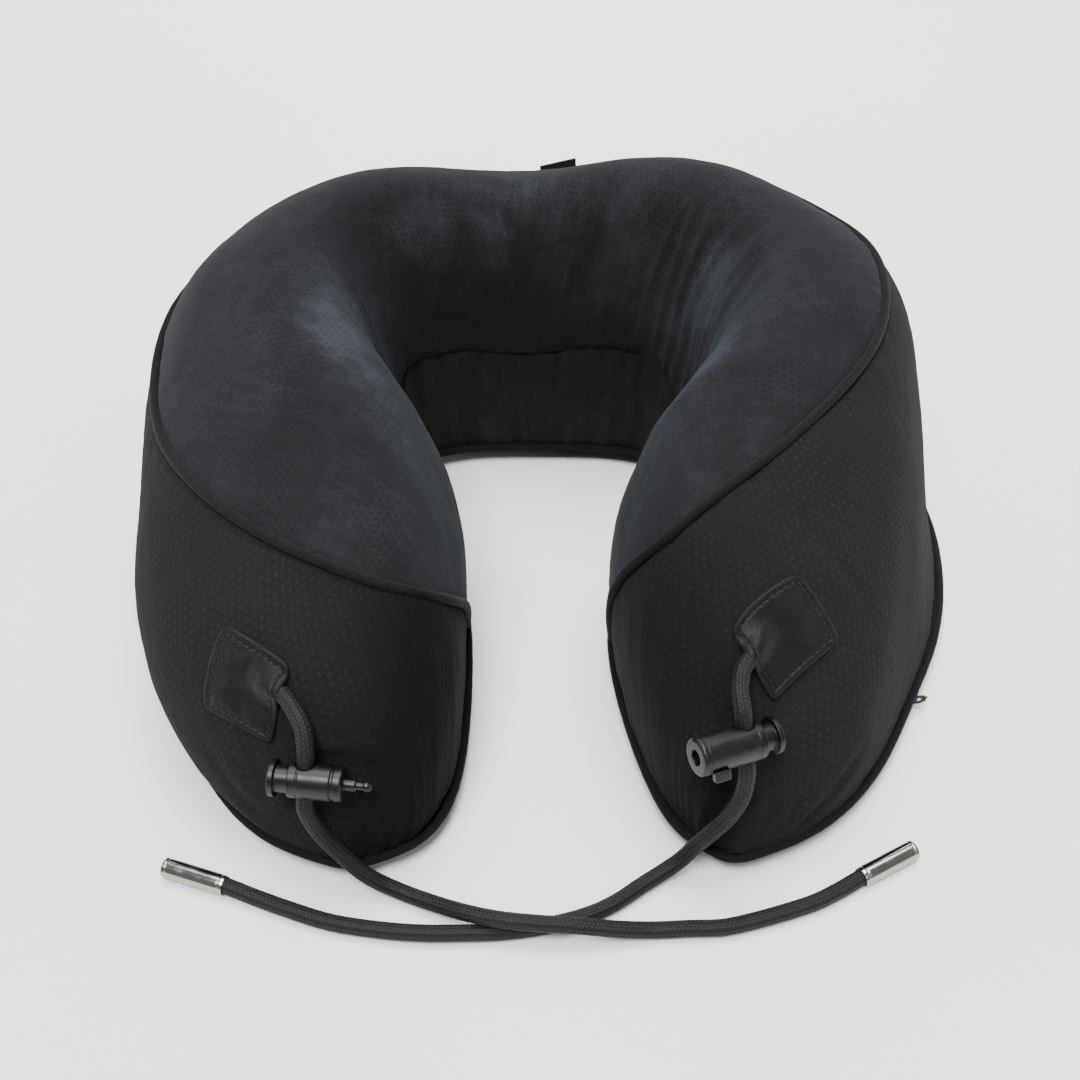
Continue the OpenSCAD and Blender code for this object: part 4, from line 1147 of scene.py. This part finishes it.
# the padding gives under the locks, over all their travel on the cords
for R_, O_ in (LEFT_M, RIGHT_M):
    for slide in (-4, -2, 0, 2, 4):
        for _ in range(2):
            L = (PS - (np.array(O_, float) + slide * R_[:, 2])) @ R_
            x = np.clip(L[..., 0], -10.5, 16.5)
            near = np.sqrt((L[..., 0] - x) ** 2 + L[..., 1] ** 2 + L[..., 2] ** 2)
            PS = PS - N0 * np.maximum(0, 7.0 - near)[..., None]


full = tuck(PS, N0)
side = mesh_object("knit_cover", full.reshape(-1, 3), [grid_faces(NT2, full.shape[1], flip=False)])
FS = flatten(P0, 190, 22)
# painted shade on the inner faces of the arms, stronger on the left arm
arm_inner_painted_shade = sstep(V, 3.3, 4.9) * ((1 - sstep(U, 3.4, 4.6)) * 0.9 + sstep(U, 18.2, 19.4) * 0.45)
attribute(side, "wv", pad_rows(np.stack([FS[..., 0], FS[..., 1], arm_inner_painted_shade], -1)).reshape(-1, 3))
use(side, M_SIDE)

# ---- gathered strip under the velour on the inner wall
NT3, NW3 = 420, 40
u = np.linspace(6.45, 15.45, NT3)
w = np.linspace(0, 1, NW3)
bv = band_v(u) - 0.16
U = u[:, None] + 0 * w[None]
V = bv[:, None] + (8 - bv)[:, None] * w[None]
P0, N0 = skin(U, V), outward(U, V)
X, Y = arc_x(U, 7.6), arc_y(U, V)
gather = perlin(X / 5.5 + 0.6 * perlin(X / 30, Y / 18, 71), Y / 45, 72)
h = 1.5 * gather * (0.45 + 0.55 * np.abs(2 * w - 1)[None] ** 0.7) + 1.0 * perlin(X / 14, Y / 40, 73)
h += -0.9 + 0.7 * np.sin(np.pi * w)[None]
h = np.where(V < band_v(u)[:, None] + 0.04, -1.5, h)
tall = sstep((8 - bv), 0.16, 0.8)[:, None]
h = h * tall - 1.5 * (1 - tall)
PB = P0 + N0 * h[..., None]
band = mesh_object("gathered_strip", PB.reshape(-1, 3), [grid_faces(NT3, NW3, flip=True)])
# third value: painted light on the gathers' crests and painted shade along the bottom edge by the hem
attribute(band, "wv", np.stack([X, Y, 0.36 + 0.10 * gather - 0.5 * sstep(V, 7.86, 8.0)], -1).reshape(-1, 3))
use(band, M_BAND)

# ---- underside
NU, NX = 420, 72
u = np.linspace(U0, LAST - U0, NU)
o_, i_ = skin(u, 0 * u), skin(u, 0 * u + 8)
wd = np.linalg.norm(i_ - o_, axis=1)
e = (i_ - o_) / wd[:, None]
r = np.minimum(9.0, 0.36 * wd)
zf = (SEAM_Z - 0.4) * (1 - np.minimum(1, wd / 24))
hh = SEAM_Z - 0.4
q = np.concatenate([np.linspace(0, 1, 13)[:-1], np.linspace(1, 2, 48), 3 - np.linspace(1, 0, 13)[1:]])
q = q[:, None].T
side_a, mid, side_b = np.clip(q, 0, 1), np.clip(q - 1, 0, 1), np.clip(q - 2, 0, 1)
dist = side_a * r[:, None] + mid * (wd - 2 * r)[:, None] + side_b * r[:, None]
edge = np.minimum(dist, wd[:, None] - dist)
k = np.clip(edge / r[:, None], 0, 1)
prof = zf[:, None] + (hh - zf[:, None]) * ((1 - k) * 0.94 + 0.06 * (1 - k) ** 2) - 0.35 * np.sin(np.pi * k)
X, Yb = arc_x(u, 0.0)[:, None] + 0 * dist, dist
rip = 0.35 * perlin(X / 6, Yb / 14, 81) * np.exp(-edge / 6) + 0.30 * np.abs(fbm(X / 30, Yb / 26, 82, 2)) * (k >= 1)
z = prof + np.where(k >= 1, rip.clip(0, 2), 0.6 * rip)
z = np.maximum(z, 0.02)
PD = np.zeros(dist.shape + (3,))
PD[..., :2] = o_[:, None, :2] + e[:, None, :2] * dist[..., None]
PD[..., 2] = z
ZIP_A0, ZIP_A1 = -32.8, 28.0
base = mesh_object("base_cover", PD.reshape(-1, 3), [grid_faces(NU, dist.shape[1], flip=False)])
attribute(base, "wv", np.stack([X, Yb, 0 * X], -1).reshape(-1, 3))
use(base, M_BASE)

# ---- piping
pt = seam_places(760)
pc = spline(UPPER_SEAM, pt)
PP = skin(pc[:, 0], pc[:, 1]) - 0.05 * outward(pc[:, 0], pc[:, 1])
upper_piping = tube("upper_seam_piping", PP, 1.65, 18,
                    height=lambda S, A: 0.09 * perlin(S / 3.0, A * 1.2, 91) + 0.05 * np.sin(2 * np.pi * (S / 2.2 + A / 6.283)) * perlin(S / 12, A, 92))
use(upper_piping, M_PIPING)
uo = np.linspace(0.06, LAST - 0.06, 700)
so, si = skin(uo, 0 * uo), skin(uo, 0 * uo + 8)
eo = unit(si - so)
loop = np.concatenate([so - 0.6 * eo, (si + 0.6 * eo)[::-1]])
loop = resample(np.concatenate([loop, loop[:1]]), step=1.2)[:-1]
for _ in range(3):
    loop = (np.roll(loop, 1, 0) + 2 * loop + np.roll(loop, -1, 0)) / 4
lower_piping = tube("lower_seam_piping", loop, 1.5, 16, up=(0, 0, 1), closed=True,
                    height=lambda S, A: 0.09 * perlin(S / 3.0, A * 1.2, 93))
use(lower_piping, M_HEM)

# ---- foam inside
NF = 150
u = np.linspace(0.55, LAST - 0.55, NF)
v = np.linspace(0, 8, 56)
G = skin(u[:, None], v[None]) - 4.5 * outward(u[:, None], v[None])
o_, i_ = skin(u, 0 * u), skin(u, 0 * u + 8)
wd = np.linalg.norm(i_ - o_, axis=1)
e = (i_ - o_) / wd[:, None]
r = np.minimum(10.0, 0.36 * wd)
zf = 3.4 + (SEAM_Z - 3.4) * (1 - np.minimum(1, wd / 24))
bot = []
for k in np.linspace(1, 0, 14):
    q = o_ + e * (r + (wd - 2 * r) * k)[:, None]
    q[:, 2] = zf
    bot.append(q)
ring = np.concatenate([G, np.stack(bot, 1)], 1)
m = ring.shape[1]
cap0, cap1 = ring[0].mean(0), ring[-1].mean(0)
fv = np.concatenate([ring.reshape(-1, 3), [cap0, cap1]])
kk = np.arange(m)
foam = mesh_object("foam_block", fv, [grid_faces(NF, m, wrap_m=True, flip=True),
                                      np.stack([np.full(m, NF * m), kk, (kk + 1) % m], 1)[:, ::-1], np.stack([np.full(m, NF * m + 1), (NF - 1) * m + (kk + 1) % m, (NF - 1) * m + kk], 1)[:, ::-1]])
use(foam, M_FOAM)

# ------------------------------------------------------------------ patches
LEFT_PATCH = [[2.6, 2.86], [2.02, 3.41], [1.4, 2.98], [1.98, 2.2]]
RIGHT_PATCH = [[19.25, 3.47], [19.74, 2.94], [20.45, 3.69], [19.86, 4.29]]


def on_patch(C, s, t):
    C = np.array(C, float)
    s, t = np.asarray(s, float)[..., None], np.asarray(t, float)[..., None]
    return (1 - s) * (1 - t) * C[0] + s * (1 - t) * C[1] + s * t * C[2] + (1 - s) * t * C[3]


def patch_height(s, t, mouth):
    """Height of the leather, distance to its edge, and how far the cord under it lifts it."""
    edge = np.minimum(np.minimum(s, 1 - s), np.minimum(t, 1 - t)) * 29.0
    hgt = 0.2 + 1.35 * np.sqrt(np.clip(1 - (1 - np.clip(edge / 0.8, 0, 1)) ** 2, 0, 1))
    hgt -= 0.38 * np.exp(-((edge - 2.6) / 0.42) ** 2)
    hgt += 0.30 * sstep(edge, 2.6, 9)
    side_, c = mouth
    al, ac = ((1 - s) * 29, (t - c) * 29) if side_ == "s" else ((1 - t) * 29, (s - c) * 29)
    lift = 3.3 * np.exp(-(np.abs(ac) / 4.3) ** 2.4) * (1 - sstep(al, 1.5, 15.0))
    hgt -= 0.35 * np.exp(-((al - 13.5) / 3.5) ** 2 - (ac / 6) ** 2)
    hgt -= 0.15 * np.exp(-((np.abs(ac) - 7.0) / 2.2) ** 2) * (1 - sstep(al, 3, 12)) * sstep(edge, 0.5, 2.0)
    hgt += 0.24 * fbm(s * 4.2 + c, t * 4.2, 101, 2)
    return np.maximum(hgt, 0.15), edge, lift


def patch(name, C, bump, seed):
    n = 90
    g = np.linspace(0, 1, n)
    g = 0.5 - 0.5 * np.cos(np.pi * g) * (0.55) - 0.45 * (0.5 - g) * 1.0
    g = (g - g[0]) / (g[-1] - g[0])
    s, t = np.meshgrid(g, g, indexing="ij")
    hgt, edge, lift = patch_height(s, t, bump)
    cs, ct = np.abs(s - .5) * 2, np.abs(t - .5) * 2
    c = 0.045 * (cs * ct) ** 7
    ps = s + np.where(s < .5, c, -c)
    pt_ = t + np.where(t < .5, c, -c)
    q = on_patch(C, ps, pt_)
    u, v = q[..., 0], q[..., 1]
    P = skin(u, v) + outward(u, v) * (hgt + lift + 0.05)[..., None]
    lower = skin(u, v) + outward(u, v) * (0.05 + 0.99 * lift)[..., None]
    verts = np.concatenate([P.reshape(-1, 3), lower.reshape(-1, 3)])
    top = grid_faces(n, n, flip=False)
    bot_ = grid_faces(n, n, flip=True, base=n * n)
    b = np.concatenate([np.arange(n) * n, (n - 1) * n + np.arange(1, n), (np.arange(n - 2, -1, -1)) * n + n - 1, np.arange(n - 2, 0, -1)])
    b2 = np.roll(b, -1)
    wall = np.stack([b, b2, b2 + n * n, b + n * n], 1)
    # orient by the first face's normal
    f = top[len(top) // 2]
    nn = np.cross(verts[f[1]] - verts[f[0]], verts[f[2]] - verts[f[0]])
    if nn @ outward(u[45, 45], v[45, 45]) < 0:
        top, bot_, wall = top[:, ::-1], bot_[:, ::-1], wall
    else:
        wall = wall[:, ::-1]
    o = mesh_object(name, verts, [top, bot_, wall])
    # painted highlight along the rounded rim of the leather
    rim_highlight = 1 - sstep(edge, 0.2, 1.1)
    wv = np.stack([s * 29 + seed, t * 29, rim_highlight], -1).reshape(-1, 3)
    attribute(o, "wv", np.concatenate([wv, wv]))
    use(o, M_LEATHER)
    return o


LBUMP = ("s", 0.33)
RBUMP = ("t", 0.40)
left_patch = patch("left_leather_patch", LEFT_PATCH, LBUMP, 3)
right_patch = patch("right_leather_patch", RIGHT_PATCH, RBUMP, 50)


def stitching(name, C, bump):
    vs, fs = [], []
    n, inset = 9, 2.6 / 29
    nr, ns = 7, 8
    off = 0
    for sd in range(4):
        for k in range(n):
            c0 = inset + (1 - 2 * inset) * (k + 0.5) / n
            hl = 0.95 / 29
            xs = np.linspace(c0 - hl, c0 + hl, nr)
            z = np.zeros(nr) + inset
            s, t = [(xs, z), (1 - z, xs), (xs, 1 - z), (z, xs)][sd]
            q = on_patch(C, s, t)
            hgt, _, lift = patch_height(s, t, bump)
            hgt = hgt + lift
            nrm = outward(q[:, 0], q[:, 1])
            arch = 0.10 + 0.16 * np.sin(np.pi * np.linspace(0, 1, nr))
            L = skin(q[:, 0], q[:, 1]) + nrm * (hgt + 0.05 + arch)[:, None]
            T = unit(np.gradient(L, axis=0))
            B = unit(np.cross(T, nrm))
            rad = 0.30 * np.sqrt(np.clip(1 - np.linspace(-0.94, 0.94, nr) ** 2, 0, 1))
            a = np.arange(ns) * 2 * np.pi / ns
            R = L[:, None] + rad[:, None, None] * (np.cos(a)[None, :, None] * B[:, None] + np.sin(a)[None, :, None] * nrm[:, None])
            vs.append(np.concatenate([R.reshape(-1, 3), L[:1], L[-1:]]))
            fs.append(grid_faces(nr, ns, wrap_m=True, base=off, flip=True))
            kk = np.arange(ns)
            off_tri = np.concatenate([np.stack([np.full(ns, off + nr * ns), off + kk, off + (kk + 1) % ns], 1)[:, ::-1],
                                      np.stack([np.full(ns, off + nr * ns + 1), off + (nr - 1) * ns + (kk + 1) % ns, off + (nr - 1) * ns + kk], 1)[:, ::-1]])
            fs.append(off_tri)
            off += nr * ns + 2
    o = mesh_object(name, np.concatenate(vs), fs)
    use(o, M_THREAD)
    return o


left_thread = stitching("left_patch_stitching", LEFT_PATCH, LBUMP)
right_thread = stitching("right_patch_stitching", RIGHT_PATCH, RBUMP)

# ------------------------------------------------------------------ zip
ZC = np.array([-15.0, 15.0, 0.0])
ZR = 166.0
RIM = math.atan2(SEAM_Z - 0.4, 9.0)


def rim_at(s, h):
    return ZR - s * math.cos(RIM) + h * math.sin(RIM), SEAM_Z - 0.4 - s * math.sin(RIM) - h * math.cos(RIM)


def arc_points(a, s, h):
    """Place at angle a (degrees), s along the rim and h off it."""
    a, s, h = np.broadcast_arrays(np.asarray(a, float), np.asarray(s, float), np.asarray(h, float))
    r = ZR - s * math.cos(RIM) + h * math.sin(RIM)
    z = SEAM_Z - 0.4 - s * math.sin(RIM) - h * math.cos(RIM)
    return np.stack([ZC[0] + r * np.cos(np.radians(a)), ZC[1] + r * np.sin(np.radians(a)), z], -1)


def tape(name, s0, s1):
    n, m = 240, 8
    an = np.linspace(ZIP_A0, ZIP_A1, n)
    s = np.linspace(s0, s1, m)
    A, S = np.meshgrid(an, s, indexing="ij")
    hgt = 0.95 + 0.10 * np.sin(A * 9) * 0.5 + 0.12 * perlin(A * 1.3, S / 2, 111)
    top = arc_points(A, S, hgt)
    bot_ = arc_points(A, S, 0.55 + 0 * A)
    verts = np.concatenate([top.reshape(-1, 3), bot_.reshape(-1, 3)])
    b = np.concatenate([np.arange(n) * m, (n - 1) * m + np.arange(1, m), (np.arange(n - 2, -1, -1)) * m + m - 1, np.arange(m - 2, 0, -1)])
    b2 = np.roll(b, -1)
    o = mesh_object(name, verts, [grid_faces(n, m), grid_faces(n, m, flip=True, base=n * m), np.stack([b, b2, b2 + n * m, b + n * m], 1)[:, ::-1]])
    wv = np.stack([A * 2.9, S, 0 * S], -1).reshape(-1, 3)
    attribute(o, "wv", np.concatenate([wv, wv]))
    use(o, M_TAPE)
    weld(o)
    return o


CS = 3.6
tape_a = tape("zip_tape_outer", CS - 0.15 - 2.5, CS - 0.15)
tape_b = tape("zip_tape_inner", CS + 0.15, CS + 0.15 + 2.5)
# interlocked nylon coil: one wire each side, half a pitch apart
pitch = 0.42
turns = int((ZIP_A1 - ZIP_A0 - 1.6) / pitch)
tq = np.linspace(0, 1, turns * 14)
coils = []
for sgn in (-1, 1):
    an = ZIP_A0 + 0.8 + tq * turns * pitch + (0.5 * pitch if sgn > 0 else 0)
    ph = tq * turns * 2 * np.pi
    coils.append(tube("zip_coil_" + ("b" if sgn > 0 else "a"), arc_points(an, CS + sgn * (0.32 + 0.38 * np.cos(ph)), 1.9 + 0.42 * np.sin(ph)), 0.27, 6, up=(0, 0, 1)))
    use(coils[-1], M_COIL)

# ------------------------------------------------------------------ label: a folded blank tab sewn into the back seam
base_p = skin(11.2, 2.9) + 0.6 * outward(11.2, 2.9)
LM = (rot("Z", -1) @ rot("Y", -4) @ rot("X", -4), base_p)
n, m = 40, 30
x = np.linspace(-7.4, 7.4, n)
zz = np.linspace(1.3, 8.2, m)
Xl, Zl = np.meshgrid(x, zz, indexing="ij")
Zl = Zl - 0.16 * (7.4 - Xl) * (Zl - 1.3) / 6.9
wave = 0.25 * np.sin(Xl / 3.2) * ((Zl - 1.2) / 7) + 0.12 * perlin(Xl / 4, Zl / 4, 121)
th = 0.42 * np.sqrt(np.clip(1 - (zz[None] - 1.2) ** 10 / 7.02**10, 0, 1)) + 0.02
front = np.stack([Xl, wave - th, Zl], -1)
back = np.stack([Xl, wave + th, Zl], -1)
verts = np.concatenate([front.reshape(-1, 3), back.reshape(-1, 3)]) @ LM[0].T + LM[1]
b = np.concatenate([np.arange(n) * m, (n - 1) * m + np.arange(1, m), (np.arange(n - 2, -1, -1)) * m + m - 1, np.arange(m - 2, 0, -1)])
b2 = np.roll(b, -1)
label = mesh_object("blank_label", verts, [grid_faces(n, m), grid_faces(n, m, flip=True, base=n * m), np.stack([b, b2, b2 + n * m, b + n * m], 1)[:, ::-1]])
wv = np.stack([Xl, Zl, 0 * Xl], -1).reshape(-1, 3)
attribute(label, "wv", np.concatenate([wv, wv]))
use(label, M_LABEL)

# small metal zip parts keep their CAD shape
for nme, mt in (("zip_slider", M_ZIPMETAL), ("zip_stops", M_ZIPMETAL), ("zip_pull", M_PULL)):
    o = NODE[nme]
    use(o, mt)
    bv_ = o.modifiers.new("edge", "BEVEL")
    bv_.width = 0.09 * MM
    bv_.segments = 2
    bv_.limit_method = "ANGLE"
    bv_.angle_limit = math.radians(40)

# ------------------------------------------------------------------ riding on bodies, and hiding the CAD parts they replace
PILLOW = [(velour, ["velour_panel"], "velour"), (side, ["side_panel"], "side_knit"), (band, ["inner_band"], "gathered_band"),
          (base, ["base_panel"], "base_knit"), (upper_piping, ["upper_piping"], "piping_cord"), (lower_piping, ["lower_piping"], "piping_cord"),
          (foam, ["foam_core"], "memory_foam"), (left_patch, ["left_patch"], "patch_leather"), (right_patch, ["right_patch"], "patch_leather"),
          (left_thread, ["left_patch_thread"], "patch_thread"), (right_thread, ["right_patch_thread"], "patch_thread"),
          (left_cord, ["left_cord"], "cord_braid"), (right_cord, ["right_cord"], "cord_braid"),
          (left_tip, ["left_cord_tip"], "tip_nickel"), (right_tip, ["right_cord_tip"], "tip_nickel"),
          (tape_a, ["zip_tapes"], "zip_tape"), (tape_b, [], "zip_tape"), (coils[0], ["zip_coil"], "zip_teeth"), (coils[1], [], "zip_teeth"),
          (label, ["back_label"], "label_weave")]
for o, ns, sl in PILLOW:
    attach(o, "pillow")
    if ns:
        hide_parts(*ns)
for o, body, ns, sl in ((left_barrel, "left_lock", ["left_lock_barrel"], "lock_plastic"), (left_spring, "left_lock", ["left_lock_spring"], "spring_steel"),
                        (left_plunger, "left_plunger", ["left_lock_plunger"], "lock_plastic"),
                        (right_barrel, "right_lock", ["right_lock_barrel"], "lock_plastic"), (lug, "right_lock", [], "lock_plastic"),
                        (right_spring, "right_lock", ["right_lock_spring"], "spring_steel"),
                        (right_plunger, "right_plunger", ["right_lock_plunger"], "lock_plastic")):
    if sl == "spring_steel":
        M_, x0, x1 = (LEFT_M, 5.2, 8.5) if body == "left_lock" else (RIGHT_M, 4.8, 7.4)
        a, b = ((M_[0][:, 0] * x + np.array(M_[1]) + SHIFT) * MM for x in (x0, x1))
        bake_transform(o)
    else:
        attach(o, body)
    if ns:
        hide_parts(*ns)


# ------------------------------------------------------------------ floor
bpy.ops.mesh.primitive_plane_add(size=40, location=(0, 0.5, 0))
floor = bpy.context.object
floor.name = "floor"
mf = Mat("floor").set(rough=0.55, spec=0.35)
fn = mf.noise(mf.geo(), 6, 2, 0.5)
mf.colour(mf.mix(mf.range(fn, 0.3, 0.7, 0, 1), (0.90, 0.875, 0.82), (0.92, 0.895, 0.845)))
use(floor, mf)
